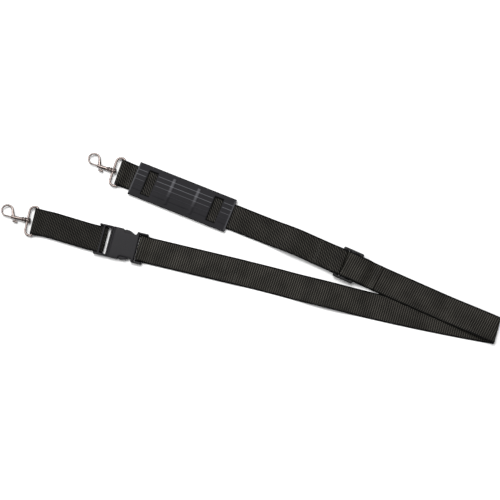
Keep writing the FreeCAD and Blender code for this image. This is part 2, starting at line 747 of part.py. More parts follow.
def buckle_male():
    """Rails, webbing bar, cover rib, root plate and the centre guide tongue."""
    half = BUCKLE_HALF
    low = "buckle_wall+buckle_clear"
    high = "buckle_height-buckle_wall-buckle_clear"
    inner = f"{half}-rail_width"
    parts = []
    for near, far in ((f"-{half}", f"-({inner})"), (inner, half)):
        parts.append(
            block("0", "male_rail_end", near, far, "rail_foot", "buckle_height-male_rail_drop")
        )
    parts.append(
        rod("male_bar_radius", f"-{half}+bar_bury", f"{half}-bar_bury", "y",
            ("male_bar", "male_bar_height"))
    )
    parts.append(
        block(
            "male_rib", "male_rib+male_rib_width", f"-{half}+bar_bury", f"{half}-bar_bury",
            "buckle_height-male_rail_drop-male_rib_thick", "buckle_height-male_rail_drop",
        )
    )
    parts.append(
        block(PLATE_START, f"{PLATE_START}+male_plate", f"-{half}", half, low, high)
    )
    middle = "buckle_height/2"
    parts.append(
        block(
            "male_rail_end", "mouth+tongue_length", "-tongue_width/2", "tongue_width/2",
            f"{middle}-tongue_thick/2", f"{middle}+tongue_thick/2",
        )
    )
    return fused(parts)


def buckle_prong(sign):
    """A springy arm with a shoulder that catches in the window and a rounded nose."""
    root = f"{PLATE_START}+male_plate+prong_gap"
    mark = "" if sign > 0 else "-"
    outside = f"{PRONG_ROOT}+prong_arm/2"
    inside = f"{PRONG_ROOT}-prong_arm/2"
    outline = [
        (root, inside), (root, outside),
        ("window_start+prong_catch", f"{outside}+prong_neck"),
        ("window_start+prong_catch", f"{PRONG_OUT}-prong_lip"),
        ("window_start+prong_crest", PRONG_OUT),
        ("window_start+prong_crest_end", f"{PRONG_OUT}-prong_crest_drop"),
        ("window_start+prong_fall", f"{PRONG_OUT}-prong_fall_drop"),
        ("prong_tip", f"{PRONG_OUT}-prong_tip_out"),
        ("prong_tip", f"{PRONG_OUT}-prong_tip_in"),
        ("window_start+prong_inside", f"{inside}+prong_inside_step"),
    ]
    low = "buckle_height/2-prong_thick/2"
    high = "buckle_height/2+prong_thick/2"
    return prism([(x, f"{mark}({y})") for x, y in outline], low, high)


finished(buckle_female(), "buckle_female", buckle_frame)
finished(buckle_male(), "buckle_male", buckle_frame)
finished(buckle_prong(1), "buckle_prong_rear", buckle_frame)
finished(buckle_prong(-1), "buckle_prong_front", buckle_frame)

# ------------------------------------------------------------------ stitching


def stitch_rows(label, rows):
    """Lockstitches lying across the webbing; each row is (place on top, heading)."""
    pitch = size("stitch_pitch")
    reach = size("webbing_width") / 2 - size("stitch_inset")
    count = int(2 * reach / pitch) + 1
    stitches = []
    for place, heading in rows:
        across = FreeCAD.Rotation(UP, heading + 90).multVec(X_AXIS)
        for number in range(count):
            middle = (number - (count - 1) / 2) * pitch
            start = place + across * (middle - size("stitch_length") / 2)
            start.z = place.z + size("thread_radius") + size("thread_gap")
            stitches.append(
                Part.makeCylinder(size("thread_radius"), size("stitch_length"), start, across)
            )
    threads = doc.addObject("Part::Feature", "threads")
    threads.Shape = Part.makeCompound(stitches)
    return finished(threads, label)


def on_strap(origin, heading, distance, height):
    step = FreeCAD.Rotation(UP, heading).multVec(X_AXIS)
    return level(origin + step * distance, height)


top_of_pair = stacked + on_floor
back = buckle_heading
first_row = size("buckle_tail") - size("row_gap") - size("row_margin")
stitch_rows("buckle_end_stitching", [
    (on_strap(female_bar_at, back, -first_row, top_of_pair), back),
    (on_strap(female_bar_at, back, -first_row - size("row_gap"), top_of_pair), back),
])
pad_top_face = size("pad_lift") + thick
loop_row = size("wrap_taper") + size("loop_row_gap")
stitch_rows("loop_end_stitching", [
    (on_strap(loop_a_bar, pad_heading, -loop_row, pad_top_face), pad_heading),
])
tail_row = size("centre_bar") / 2 + adjuster_slot + size("outer_bar") / 2
tail_row += size("adjuster_tail") - size("row_margin")
doubled_top = frame_mid + layer / 2 + thick / 2
stitch_rows("adjuster_end_stitching", [
    (on_strap(adjuster_place, upper_heading, tail_row, doubled_top), upper_heading),
    (on_strap(adjuster_place, upper_heading, tail_row - size("pair_gap"), doubled_top),
     upper_heading),
])
hem_end = size("adjuster_from_fold") - half_adjuster - size("hem_tail")
hem_row = hem_end + size("row_margin")
hem_top = stacked + layer + on_floor
stitch_rows("hem_stitching", [
    (on_strap(FOLD, upper_heading, hem_row, hem_top), upper_heading),
    (on_strap(FOLD, upper_heading, hem_row + size("pair_gap"), hem_top), upper_heading),
])
short_top = size("male_bar_height") + layer / 2 + thick / 2
male_row = size("wrap_taper") + size("male_row_gap")
male_bar_at = male_end - buckle_axis * size("male_bar")
stitch_rows("short_male_stitching", [
    (on_strap(male_bar_at, back, male_row, short_top), short_heading),
])
stitch_rows("short_loop_stitching", [
    (on_strap(loop_b_bar, short_heading, -loop_row, short_top), short_heading),
])

# ------------------------------------------------------------------ stand it on its origin

doc.recompute()
box = Part.makeCompound([node.Shape for node in NODES]).BoundBox
shift = V(-box.Center.x, -box.Center.y, -box.ZMin)
for node in NODES:
    place = node.Placement
    node.Placement = FreeCAD.Placement(place.Base + shift, place.Rotation)
doc.recompute()

for thing in doc.Objects:
    if "Invalid" in thing.State or "Error" in thing.State:
        raise RuntimeError(f"{thing.Label} did not rebuild")
os.makedirs("parts", exist_ok=True)
for node in NODES:
    if node.Shape.isNull() or not node.Shape.isValid():
        raise RuntimeError(f"{node.Label} is not a valid solid")
for node in NODES:
    node.Shape.exportStep(f"parts/{node.Label}.step")
    print(f"{node.Label}: {node.Shape.Volume:.1f} mm3, {len(node.Shape.Solids)} solid(s)")

# the lines a joint or a mount turns about, in the strap's own frame
for name, frame in (
    ("snap_a", snap_a_frame), ("snap_b", snap_b_frame), ("adjuster", adjuster_frame),
    ("pad", pad_frame), ("buckle", buckle_frame),
):
    at = frame.Base + shift
    print(f"FRAME {name} {at.x:.4f} {at.y:.4f} {at.z:.4f} {frame.Rotation.Angle:.6f}")
print("BOX", box.XLength, box.YLength, box.ZLength)
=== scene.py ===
import json
import math

import bpy
import numpy as np
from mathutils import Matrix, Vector


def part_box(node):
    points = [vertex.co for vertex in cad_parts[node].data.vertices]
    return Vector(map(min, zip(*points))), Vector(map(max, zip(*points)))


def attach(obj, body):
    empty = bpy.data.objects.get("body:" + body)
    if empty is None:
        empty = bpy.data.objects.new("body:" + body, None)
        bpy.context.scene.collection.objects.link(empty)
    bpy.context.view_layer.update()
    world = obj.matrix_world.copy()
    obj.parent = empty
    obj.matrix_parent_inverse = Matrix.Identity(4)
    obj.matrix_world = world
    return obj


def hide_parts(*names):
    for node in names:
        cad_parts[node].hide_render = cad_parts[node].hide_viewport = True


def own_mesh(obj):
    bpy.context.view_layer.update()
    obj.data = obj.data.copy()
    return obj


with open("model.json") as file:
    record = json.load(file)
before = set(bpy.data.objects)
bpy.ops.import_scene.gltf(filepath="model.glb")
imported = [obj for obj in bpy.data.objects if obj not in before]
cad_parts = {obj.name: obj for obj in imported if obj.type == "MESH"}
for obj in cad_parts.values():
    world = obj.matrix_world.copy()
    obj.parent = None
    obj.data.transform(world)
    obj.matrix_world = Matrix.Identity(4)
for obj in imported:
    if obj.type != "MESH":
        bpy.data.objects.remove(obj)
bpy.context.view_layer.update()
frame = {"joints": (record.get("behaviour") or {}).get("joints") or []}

# A webbing shoulder strap with two swivel bolt snaps, a rubber pad, a slide adjuster
# and a side-release buckle, lying doubled back on a pale floor. Lengths are in metres.

MM = 0.001
JOINTS = {joint["name"]: joint for joint in frame["joints"]}

# webbing and how it lies, as the frame has it
WIDTH = 38.0 * MM
THICK = 1.6 * MM
LAYER = 1.7 * MM
BAR_GAP = 0.15 * MM
MOVING_GAP = 0.4 * MM
FOLD_RADIUS = 3.4 * MM
LOWER_SLOPE = {"fold": 10.2, "mid": 15.4, "buckle": 13.6}
UPPER_SLOPE = {"fold": 24.2, "pad": 22.0, "loop": 17.6}
SHORT_SLOPE = {"mid": 16.9, "loop": 12.0}
SHORT_RUN = 102.0 * MM
TAPER = 15.0 * MM
LOOP_WIRE = 1.65 * MM
LOOP_REST = 4.7 * MM
ON_FLOOR = THICK / 2
STACKED = ON_FLOOR + LAYER

UP = np.array([0.0, 0.0, 1.0])


def unit(vectors):
    """Vectors divided by their lengths, along the last axis."""
    return vectors / np.linalg.norm(vectors, axis=-1, keepdims=True)


def heading_vector(degrees):
    """A level unit vector for each heading, measured anticlockwise from +X."""
    turn = np.radians(np.asarray(degrees, float))
    return np.stack([np.cos(turn), np.sin(turn), np.zeros_like(turn)], -1)


# ---- camera, floor, light

SCENE = bpy.context.scene
VIEW_MIDDLE = Vector((0.0012, -0.0034, 0.0))
VIEW_WIDTH = 0.7145
CAMERA_LENS = 85.0
CAMERA_TILT = 80.7
CAMERA_REACH = 20.0
SKY_STRENGTH = 0.1
LAMPS = (  # name, place, size, power
    ("back_lamp", (-0.4, 0.9, 2.3), 1.3, 70),
    ("left_lamp", (-1.8, 0.4, 1.6), 1.0, 26),
    ("right_lamp", (1.8, 0.2, 1.6), 1.0, 8),
    ("front_lamp", (0.0, -1.8, 1.5), 1.0, 10),
)
FLOOR_HALF = 6.0
FLOOR_DROP = 0.2 * MM


def linked(name, data):
    """A new object in the scene."""
    made = bpy.data.objects.new(name, data)
    SCENE.collection.objects.link(made)
    return made


def aimed(name, data, location, direction):
    """A camera or lamp at a location, looking along a direction."""
    made = linked(name, data)
    made.location = location
    made.rotation_mode = "QUATERNION"
    made.rotation_quaternion = direction.to_track_quat("-Z", "Y")
    return made


def make_camera():
    """A long lens nearly straight above the strap, tipped a little towards its front."""
    data = bpy.data.cameras.new("camera")
    data.lens = CAMERA_LENS
    data.clip_end = CAMERA_REACH
    distance = VIEW_WIDTH * data.lens / data.sensor_width
    tilt = math.radians(CAMERA_TILT)
    back = Vector((0, -math.cos(tilt), math.sin(tilt)))
    SCENE.camera = aimed("camera", data, VIEW_MIDDLE + back * distance, -back)


def area_light(name, place, size, power):
    """A square soft light at a place, pointing at the middle of the strap."""
    data = bpy.data.lights.new(name, "AREA")
    data.size = size
    data.energy = power
    aimed(name, data, place, Vector() - Vector(place))


def make_room():
    """A dim sky over a white floor, with broad soft lamps behind and at the sides."""
    world = bpy.data.worlds.new("sky")
    world.use_nodes = True
    world.node_tree.nodes["Background"].inputs["Color"].default_value = (1, 1, 1, 1)
    world.node_tree.nodes["Background"].inputs["Strength"].default_value = SKY_STRENGTH
    SCENE.world = world
    SCENE.view_settings.view_transform = "Standard"
    for lamp in LAMPS:
        area_light(*lamp)


def make_floor(material):
    """A level square just under the strap."""
    half = FLOOR_HALF
    corners = [(-half, -half, 0), (half, -half, 0), (half, half, 0), (-half, half, 0)]
    floor = new_object("floor", corners, [(0, 1, 2, 3)], material)
    floor.location.z = -FLOOR_DROP


# ---- materials


class Shader:
    """A node material built by short calls; every number sits on its own socket."""

    def __init__(self, name, **settings):
        self.material = bpy.data.materials.new(name)
        self.material.use_nodes = True
        self.tree = self.material.node_tree
        self.main = self.tree.nodes["Principled BSDF"]
        for socket, value in settings.items():
            self.main.inputs[socket.replace("_", " ")].default_value = value

    def node(self, kind, feeds=(), **settings):
        """A node with its settings; feeds gives inputs a number, a colour or a socket."""
        made = self.tree.nodes.new("ShaderNode" + kind)
        for name, value in settings.items():
            setattr(made, name, value)
        for name, value in dict(feeds).items():
            if isinstance(value, bpy.types.NodeSocket):
                self.tree.links.new(value, made.inputs[name])
            else:
                made.inputs[name].default_value = value
        return made

    def coordinates(self, uv=None):
        """The piece's own coordinates, or a UV by its name."""
        if uv:
            return self.node("UVMap", uv_map=uv).outputs["UV"]
        return self.node("TexCoord").outputs["Object"]

    def attribute(self, name):
        return self.node("Attribute", attribute_name=name).outputs["Fac"]

    def math(self, operation, *values, clamp=False):
        feeds = dict(enumerate(values))
        return self.node("Math", feeds, operation=operation, use_clamp=clamp).outputs[0]

    def times(self, first, second):
        return self.math("MULTIPLY", first, second)

    def plus(self, first, second, clamp=False):
        return self.math("ADD", first, second, clamp=clamp)

    def noise(self, vector, scale, detail=2.0, roughness=0.5):
        feeds = {"Vector": vector, "Scale": scale, "Detail": detail, "Roughness": roughness}
        return self.node("TexNoise", feeds).outputs["Fac"]

    def ramp(self, value, stops):
        made = self.node("ValToRGB", {"Fac": value})
        band = made.color_ramp
        for element, (place, colour) in zip(band.elements, stops):
            element.position = place
            element.color = (*colour, 1)
        for place, colour in stops[2:]:
            band.elements.new(place).color = (*colour, 1)
        return made.outputs["Color"]

    def spread(self, value, low, high):
        feeds = {"Value": value, "To Min": low, "To Max": high}
        return self.node("MapRange", feeds, clamp=True).outputs["Result"]

    def bump(self, height, strength, distance, before=None):
        feeds = {"Height": height, "Strength": strength, "Distance": distance}
        if before is not None:
            feeds["Normal"] = before
        return self.node("Bump", feeds).outputs["Normal"]

    def paint(self, socket, value):
        self.tree.links.new(value, self.main.inputs[socket])


def floor_white():
    return Shader("floor_white", Base_Color=(0.86, 0.86, 0.86, 1), Roughness=0.75).material


WEBBING_TOPS = (0.110, 0.103, 0.088)
WEBBING_MIDDLES = (0.0065, 0.0062, 0.0054)
WEBBING_GAPS = (0.001, 0.001, 0.0009)
FLOAT_PITCH = 2.2 * MM
FLOAT_SLANT = 2200.0
RIB_SHARE, FLOAT_SHARE = 0.26, 0.24
SELVEDGE_DARK = 0.12


def black_webbing(name, slant, pitch, bright):
    """Ribbed twill: slanting ribs broken into floats, each catching the light."""
    made = Shader(name, Roughness=0.6, Specular_IOR_Level=0.05)
    cloth = made.coordinates("weave")
    split = made.node("SeparateXYZ", {0: cloth})
    run, cross = split.outputs["X"], split.outputs["Y"]
    lean = math.radians(slant)
    turn = 2 * math.pi / pitch
    wander = made.times(made.noise(cloth, 60.0, 2.0, 0.5), 1.6)
    along = made.times(run, turn * math.cos(lean))
    aside = made.times(cross, -turn * math.sin(lean))
    ribs = made.math("SINE", made.plus(made.plus(along, aside), wander))
    other = made.times(cross, 2 * math.pi / FLOAT_PITCH)
    floats = made.math("SINE", made.plus(other, made.times(run, FLOAT_SLANT)))
    both = made.plus(made.times(ribs, RIB_SHARE), made.times(floats, FLOAT_SHARE))
    lift = made.plus(both, 0.5, clamp=True)
    fuzz = made.noise(cloth, 1100.0, 3.0, 0.6)
    patch = made.noise(cloth, 38.0, 2.0, 0.5)
    shade = made.times(lift, made.spread(patch, 0.7, 1.2))
    speck = made.times(shade, made.spread(fuzz, 0.6, 1.4))
    speck = made.times(speck, made.spread(made.attribute("selvedge"), 1.0, SELVEDGE_DARK))
    tops, middles = (
        tuple(bright * part for part in colour) for colour in (WEBBING_TOPS, WEBBING_MIDDLES)
    )
    colour = made.ramp(speck, [(0.1, WEBBING_GAPS), (0.95, tops), (0.5, middles)])
    made.paint("Base Color", colour)
    made.paint("Roughness", made.spread(fuzz, 0.5, 0.75))
    weave = made.bump(lift, 0.6, 0.3 * MM)
    made.paint("Normal", made.bump(fuzz, 0.25, 0.1 * MM, weave))
    return made.material


def black_thread(name, dark, light):
    """Twisted thread, speckled finely from dark to light."""
    made = Shader(name, Roughness=0.6, Specular_IOR_Level=0.2)
    place = made.coordinates()
    twist = made.noise(place, 1800.0, 2.0)
    made.paint("Base Color", made.ramp(twist, [(0.2, dark), (0.8, light)]))
    made.paint("Normal", made.bump(twist, 0.5, 0.1 * MM))
    return made.material


def moulded(name, dark, light, rough, grain, coat=0.0, highlight_colour=None):
    """Moulded plastic or rubber: fine grain, faint flow marks, and, where a colour is given for it, a
    painted highlight laid pale on raised lines.
    """
    made = Shader(
        name, Roughness=rough, Coat_Weight=coat, Coat_Roughness=0.3, Specular_IOR_Level=0.11
    )
    place = made.coordinates()
    fine = made.noise(place, grain, 3.0, 0.6)
    flow = made.noise(place, 60.0, 3.0, 0.55)
    colour = made.ramp(flow, [(0.3, dark), (0.7, light)])
    # painted highlight: raised lines mixed towards a pale colour by a vertex attribute
    if highlight_colour:
        feeds = {"Fac": made.attribute("painted_highlight"), "Color1": colour, "Color2": (*highlight_colour, 1)}
        colour = made.node("MixRGB", feeds).outputs["Color"]
    made.paint("Base Color", colour)
    made.paint("Roughness", made.spread(flow, rough - 0.08, rough + 0.1))
    made.paint("Normal", made.bump(fine, 0.22, 0.08 * MM))
    return made.material


def nickel(name, tint, rough):
    """Bright plate over cast zinc: slight orange peel and cloudy handling marks."""
    made = Shader(name, Metallic=1.0, Roughness=rough)
    place = made.coordinates()
    cloud = made.noise(place, 220.0, 3.0, 0.6)
    peel = made.noise(place, 900.0, 2.0, 0.5)
    dark = tuple(0.82 * part for part in tint)
    made.paint("Base Color", made.ramp(cloud, [(0.25, dark), (0.75, tint)]))
    made.paint("Roughness", made.spread(cloud, rough - 0.06, rough + 0.14))
    made.paint("Normal", made.bump(peel, 0.12, 0.1 * MM))
    return made.material


WEBBING = black_webbing("black_webbing", 4.0, 3.1 * MM, 0.8)
PAD_WEBBING = black_webbing("black_webbing_pad_arm", -40.0, 3.0 * MM, 0.6)
SHORT_WEBBING = black_webbing("black_webbing_short", -36.0, 3.1 * MM, 0.42)
THREAD = black_thread("black_thread", (0.02, 0.02, 0.018), (0.07, 0.07, 0.064))
BAND_THREAD = black_thread("band_thread", (0.004, 0.004, 0.0037), (0.018, 0.018, 0.016))
# the pale colour given last is a painted highlight on the pad's raised lines and end lips
PAD_RUBBER = moulded(
    "pad_rubber", (0.0065, 0.0062, 0.0078), (0.0115, 0.0110, 0.0130), 0.6, 1400.0,
    highlight_colour=(0.13, 0.13, 0.142),
)
BUCKLE_PLASTIC = moulded(
    "buckle_plastic", (0.0085, 0.0080, 0.0095), (0.0135, 0.0128, 0.0145), 0.5, 1800.0
)
ADJUSTER_PLASTIC = moulded(
    "adjuster_plastic", (0.004, 0.004, 0.0045), (0.008, 0.008, 0.0085), 0.42, 1600.0, coat=0.05
)
NICKEL = nickel("nickel_plate", (0.17, 0.14, 0.13), 0.24)
STEEL = nickel("spring_steel", (0.55, 0.55, 0.55), 0.3)
FINISHES = {
    "pad_rubber": PAD_RUBBER, "buckle_plastic": BUCKLE_PLASTIC,
    "adjuster_plastic": ADJUSTER_PLASTIC, "nickel_plate": NICKEL, "spring_steel": STEEL,
}


# ---- mesh building


def new_object(name, vertices, faces, material, uv=None):
    """A mesh object from whole arrays; uv gives one (u, v) for each face corner."""
    mesh = bpy.data.meshes.new(name)
    mesh.from_pydata(np.asarray(vertices).tolist(), [], [list(f) for f in faces])
    if uv is not None:
        layer = mesh.uv_layers.new(name="weave")
        layer.data.foreach_set("uv", np.asarray(uv, np.float32).ravel())
    mesh.polygons.foreach_set("use_smooth", np.full(len(mesh.polygons), True))
    mesh.materials.append(material)
    mesh.update()
    return linked(name, mesh)


def grid_faces(rows, columns, wrap_rows=False, wrap_columns=False):
    """Quads over a grid of vertices numbered row by row, joined round where asked."""
    last_row = rows if wrap_rows else rows - 1
    last_column = columns if wrap_columns else columns - 1
    i, j = np.meshgrid(np.arange(last_row), np.arange(last_column), indexing="ij")
    below = (i + 1) % rows
    beside = (j + 1) % columns
    quads = [i * columns + j, below * columns + j, below * columns + beside, i * columns + beside]
    return np.stack(quads, -1).reshape(-1, 4).tolist()


def skin(rings, around, closed=False):
    """Faces over rings of points, with a flat cap on each end that doesn't close."""
    faces = [face[::-1] for face in grid_faces(rings, around, closed, wrap_columns=True)]
    if not closed:
        last = (rings - 1) * around
        faces += [list(range(around)), list(range(last, last + around))[::-1]]
    return faces


class Shapes:
    """Several surfaces gathered into one mesh."""

    def __init__(self):
        self.vertices = []
        self.faces = []
        self.count = 0

    def add(self, vertices, faces):
        flat = np.asarray(vertices).reshape(-1, 3)
        self.vertices.append(flat)
        self.faces += [[index + self.count for index in face] for face in faces]
        self.count += len(flat)
        return self

    def made(self, name, material, place=None):
        vertices = np.concatenate(self.vertices)
        if place is not None:
            vertices = place.put(vertices)
        return new_object(name, vertices, self.faces, material)

    def fit(self, name, slot, place, body, node):
        """The piece in its slot's finish, riding a body and standing for a node."""
        return rides(self.made(name, FINISHES[slot], place), body, node)


class Place:
    """A level frame: its origin, and its X along a heading. put() moves points into it."""

    def __init__(self, origin, along):
        self.origin = np.asarray(origin, float)
        self.x = unit(np.asarray(along, float))
        self.y = np.cross(UP, self.x)

    def put(self, points):
        points = np.asarray(points) * MM
        return (
            self.origin + points[..., :1] * self.x + points[..., 1:2] * self.y
            + points[..., 2:3] * UP
        )


def turned(profile, axis="x", centre=(0, 0), around=40):
    """A surface of revolution: each (place, radius) of the profile swung about the axis."""
    profile = np.asarray(profile, float)
    angle = np.linspace(0, 2 * math.pi, around, endpoint=False)
    along = np.repeat(profile[:, :1], around, 1)
    one = centre[0] + profile[:, 1:2] * np.cos(angle)
    two = centre[1] + profile[:, 1:2] * np.sin(angle)
    stacks = {"x": (along, one, two), "y": (two, along, one), "z": (one, two, along)}
    return np.stack(stacks[axis], -1), skin(len(profile), around)


ROD_STEPS = 5
TINY = 0.001


def rounded_rod(start, end, radius, soft):
    """Profile of a rod with rounded rims: straight side, quarter circles at both ends."""
    turn = np.linspace(0, math.pi / 2, ROD_STEPS)
    low = np.stack([start + soft * (1 - np.cos(turn)), radius - soft + soft * np.sin(turn)], -1)
    high = np.stack([end - soft * (1 - np.cos(turn)), radius - soft + soft * np.sin(turn)], -1)
    rim = max(radius - soft - TINY, TINY)
    return np.concatenate([[[start, rim]], low, high[::-1], [[end, rim]]])


def tube(path, wide, tall, closed=False, around=18):
    """An elliptical bar along a path in the XY plane: wide in the plane, tall along Z."""
    path = np.asarray(path, float)
    ahead = np.roll(path, -1, 0) - np.roll(path, 1, 0)
    if not closed:
        ahead[0] = path[1] - path[0]
        ahead[-1] = path[-1] - path[-2]
    ahead = unit(ahead)
    side = np.cross(UP, ahead)
    up = np.cross(ahead, side)
    angle = np.linspace(0, 2 * math.pi, around, endpoint=False)[None, :, None]
    wide = np.broadcast_to(np.asarray(wide, float), len(path))[:, None, None]
    tall = np.broadcast_to(np.asarray(tall, float), len(path))[:, None, None]
    rows = path[:, None] + side[:, None] * wide * np.cos(angle) + up[:, None] * tall * np.sin(angle)
    return rows, skin(len(path), around, closed)


def arc(centre, radius, start, end, steps):
    """Points of a circle's arc in the XY plane, angles in degrees."""
    return np.asarray(centre, float) + radius * heading_vector(np.linspace(start, end, steps))


# ---- webbing


RUN_STEP = 1.5 * MM
BEND_STEPS = 17
FOLD_STEPS = 65


class Route:
    """The middle line of a length of webbing: points, travel and across vectors."""

    def __init__(self, place, heading, backward=False):
        self.place = np.asarray(place, float)
        self.heading = heading
        self.sense = -1.0 if backward else 1.0
        self.parts = []

    def keep(self, points, travel, headings):
        across = np.cross(UP, heading_vector(headings))
        skip = 1 if self.parts else 0
        self.parts.append((points[skip:], unit(travel)[skip:], across[skip:]))

    def run(self, length, turn=0.0, rise=0.0, hump=0.0):
        """Go on by length: an even turn in plan, a soft S in height and a raised cosine."""
        count = max(int(length / RUN_STEP), 2)
        share = np.linspace(0, 1, count + 1)
        headings = self.heading + turn * share
        middle = heading_vector((headings[1:] + headings[:-1]) / 2)
        steps = middle * (self.sense * length / count)
        plan = self.place + np.concatenate([np.zeros((1, 3)), np.cumsum(steps, 0)])
        lift = rise * share**2 * (3 - 2 * share) + hump * np.sin(math.pi * share) ** 2
        climb = rise * 6 * share * (1 - share) + hump * math.pi * np.sin(2 * math.pi * share)
        points = plan + UP * lift[:, None]
        travel = heading_vector(headings) * self.sense + UP * (climb / length)[:, None]
        self.keep(points, travel, headings)
        self.place = points[-1]
        self.heading += turn

    def bend(self, radius, sweep):
        """Half a turn round a bar, upwards for a positive sweep."""
        side = 1.0 if sweep > 0 else -1.0
        angle = np.linspace(0, math.pi, BEND_STEPS)[:, None]
        forward = heading_vector(self.heading) * self.sense
        centre = self.place + UP * radius * side
        points = centre + forward * radius * np.sin(angle) - UP * side * radius * np.cos(angle)
        travel = forward * np.cos(angle) + UP * side * np.sin(angle)
        self.keep(points, travel, np.full(BEND_STEPS, self.heading))
        self.place = points[-1]
        self.sense = -self.sense
        return centre

    def rows(self):
        """The whole line's points, travel and across vectors."""
        return tuple(np.concatenate(part) for part in zip(*self.parts))


EDGE_STEPS = 4
FACE_STEPS = 24
SELVEDGE = 2.6 * MM
UNEVEN = 0.12 * MM
SHORT_UNEVEN = 0.1 * MM
SWELL_WAVES = ((1.0, 61.0, 40.0, 0.0), (0.7, 113.0, -95.0, 1.3), (0.5, 29.0, 160.0, 0.4))


def ease(value):
    """A smooth step from 0 to 1."""
    share = np.clip(value, 0, 1)
    return share * share * (3 - 2 * share)


def add_attribute(piece, name, values):
    """One number for each vertex, which a material reads by its name."""
    layer = piece.data.attributes.new(name, "FLOAT", "POINT")
    layer.data.foreach_set("value", np.asarray(values, dtype=np.float32))


def strip_profile():
    """The section as two matching sides, so that an end can be closed pair by pair."""
    radius = THICK / 2
    flat = WIDTH / 2 - radius
    turn = np.linspace(math.pi / 2, 0, EDGE_STEPS + 1)[1:-1]
    left = np.stack([-flat - radius * np.cos(turn), radius * np.sin(turn)], -1)[::-1]
    top = np.stack([np.linspace(-flat, flat, FACE_STEPS), np.full(FACE_STEPS, radius)], -1)
    right = np.stack([flat + radius * np.cos(turn), radius * np.sin(turn)], -1)
    upper = np.concatenate([left, top, right])
    tips = np.array([[WIDTH / 2, 0.0]]), np.array([[-WIDTH / 2, 0.0]])
    lower = upper[::-1] * [1, -1]
    return np.concatenate([upper, tips[0], lower, tips[1]]), len(upper)


PROFILE, UPPER_COUNT = strip_profile()
AROUND = len(PROFILE)


def swell(run, across, strength):
    """Slow unevenness of cloth: the mean of size * sin(run * a + across * b + phase)."""
    waves = sum(
        size * np.sin(run * a + across * b + phase) for size, a, b, phase in SWELL_WAVES
    )
    return strength * waves / sum(wave[0] for wave in SWELL_WAVES)


def strap_grid(points, travel, across, start=0.0, strength=UNEVEN):
    """Section points carried along the middle line, with a slight unevenness."""
    normal = np.cross(travel, across)
    steps = np.linalg.norm(np.diff(points, axis=0), axis=1)
    run = start + np.concatenate([[0], np.cumsum(steps)])
    side = PROFILE[None, :, :1]
    height = PROFILE[None, :, 1:]
    uneven = swell(run[:, None], PROFILE[None, :, 0], strength)[..., None]
    grid = points[:, None] + across[:, None] * side + normal[:, None] * (height + uneven)
    return grid, run


def strap_object(node, body, grid, run, material):
    """The closed strip over a grid of sections, with its UV in metres, laid as a sheet."""
    rows = len(run)
    faces = grid_faces(rows, AROUND, wrap_columns=True)
    loop = np.linalg.norm(np.diff(np.concatenate([PROFILE, PROFILE[:1]]), axis=0), axis=1)
    girth = np.concatenate([[0], np.cumsum(loop)])
    i, j = np.meshgrid(np.arange(rows - 1), np.arange(AROUND), indexing="ij")
    corner_u = np.stack([run[i], run[i + 1], run[i + 1], run[i]], -1)
    corner_v = np.stack([girth[j], girth[j], girth[j + 1], girth[j + 1]], -1)
    uv = np.stack([corner_u, corner_v], -1).reshape(-1, 2)
    caps, cap_uv = [], []
    pairs = UPPER_COUNT
    tip_right = pairs
    tip_left = 2 * pairs + 1
    for base, flip, place in ((0, False, run[0]), ((rows - 1) * AROUND, True, run[-1])):
        quads = [[k, k + 1, 2 * pairs - 1 - k, 2 * pairs - k] for k in range(pairs - 1)]
        ends = [[pairs - 1, tip_right, tip_right + 1], [tip_left, 0, tip_left - 1]]
        for face in quads + ends:
            shifted = [base + index for index in face]
            caps.append(shifted[::-1] if flip else shifted)
            cap_uv += [(place, girth[min(index, AROUND)]) for index in (face[::-1] if flip else face)]
    uv = np.concatenate([uv, np.array(cap_uv)])
    strap = new_object(node + "_cloth", grid.reshape(-1, 3), faces + caps, material, uv)
    side = np.abs(PROFILE[:, 0])
    near = ease((side - WIDTH / 2 + SELVEDGE) / (SELVEDGE / 2))
    add_attribute(strap, "selvedge", np.tile(near, rows))
    rides(strap, body, node)


def fold_grid(start, reach):
    """Cloth wound half a turn round a level cylinder set at a slant to its length.

    A point a distance p past the crease, in the flat cloth, goes to the angle p over
    the radius on the cylinder, or straight on where it has left it.
    """
    along = np.linspace(-reach, reach, FOLD_STEPS)
    side = PROFILE[None, :, :1]
    height = PROFILE[None, :, 1:]
    s = along[:, None, None]
    p = s * math.cos(LEAN) + side * math.sin(LEAN)
    q = -s * math.sin(LEAN) + side * math.cos(LEAN)
    quarter = FOLD_RADIUS * math.pi / 2
    angle = np.clip(p, -quarter, quarter) / FOLD_RADIUS
    beyond = p - np.clip(p, -quarter, quarter)
    radius = FOLD_RADIUS + height
    level_out = np.cos(angle) * radius - np.abs(beyond)
    raised = -np.sin(angle) * radius
    place = SHIFT + OUTWARD * level_out + CREASE * q + UP * (ON_FLOOR + FOLD_RADIUS + raised)
    return place, start + reach + along


def pin(name):
    """A joint's point."""
    return np.array(JOINTS[name]["pos_m"])


def way(name):
    """A joint's direction."""
    return np.array(JOINTS[name]["axis"])


CENTRE_BAR = 6.2 * MM
OUTER_BAR = 5.6 * MM
ADJUSTER_THICK = 3.0 * MM
WRAP_GAP = 0.3 * MM
ADJUSTER_SLOT = ADJUSTER_THICK + 2 * BAR_GAP + 2 * THICK + WRAP_GAP
HALF_ADJUSTER = OUTER_BAR + ADJUSTER_SLOT + CENTRE_BAR / 2
ADJUSTER_FROM_FOLD = 225.0 * MM
HEM_TAIL = 31.0 * MM
HEM_FLAT = 10.0 * MM
ADJUSTER_TAIL = 40.0 * MM
FRAME_MID = STACKED + ON_FLOOR + 4.0 * MM - THICK + ADJUSTER_THICK / 2
WRAP = ADJUSTER_THICK / 2 + BAR_GAP + THICK / 2
LOWER_CURVED = 300.0 * MM
LOWER_STRAIGHT = 55.0 * MM
HUMP_MARGIN = 4.0 * MM
BUCKLE_TAIL = 145.0 * MM
HUMP = 5.0 * MM
UPPER_HEADING = 180 - UPPER_SLOPE["fold"]
LOWER_HEADING = 180 - LOWER_SLOPE["fold"]
PAD_HEADING = 180 - UPPER_SLOPE["pad"]
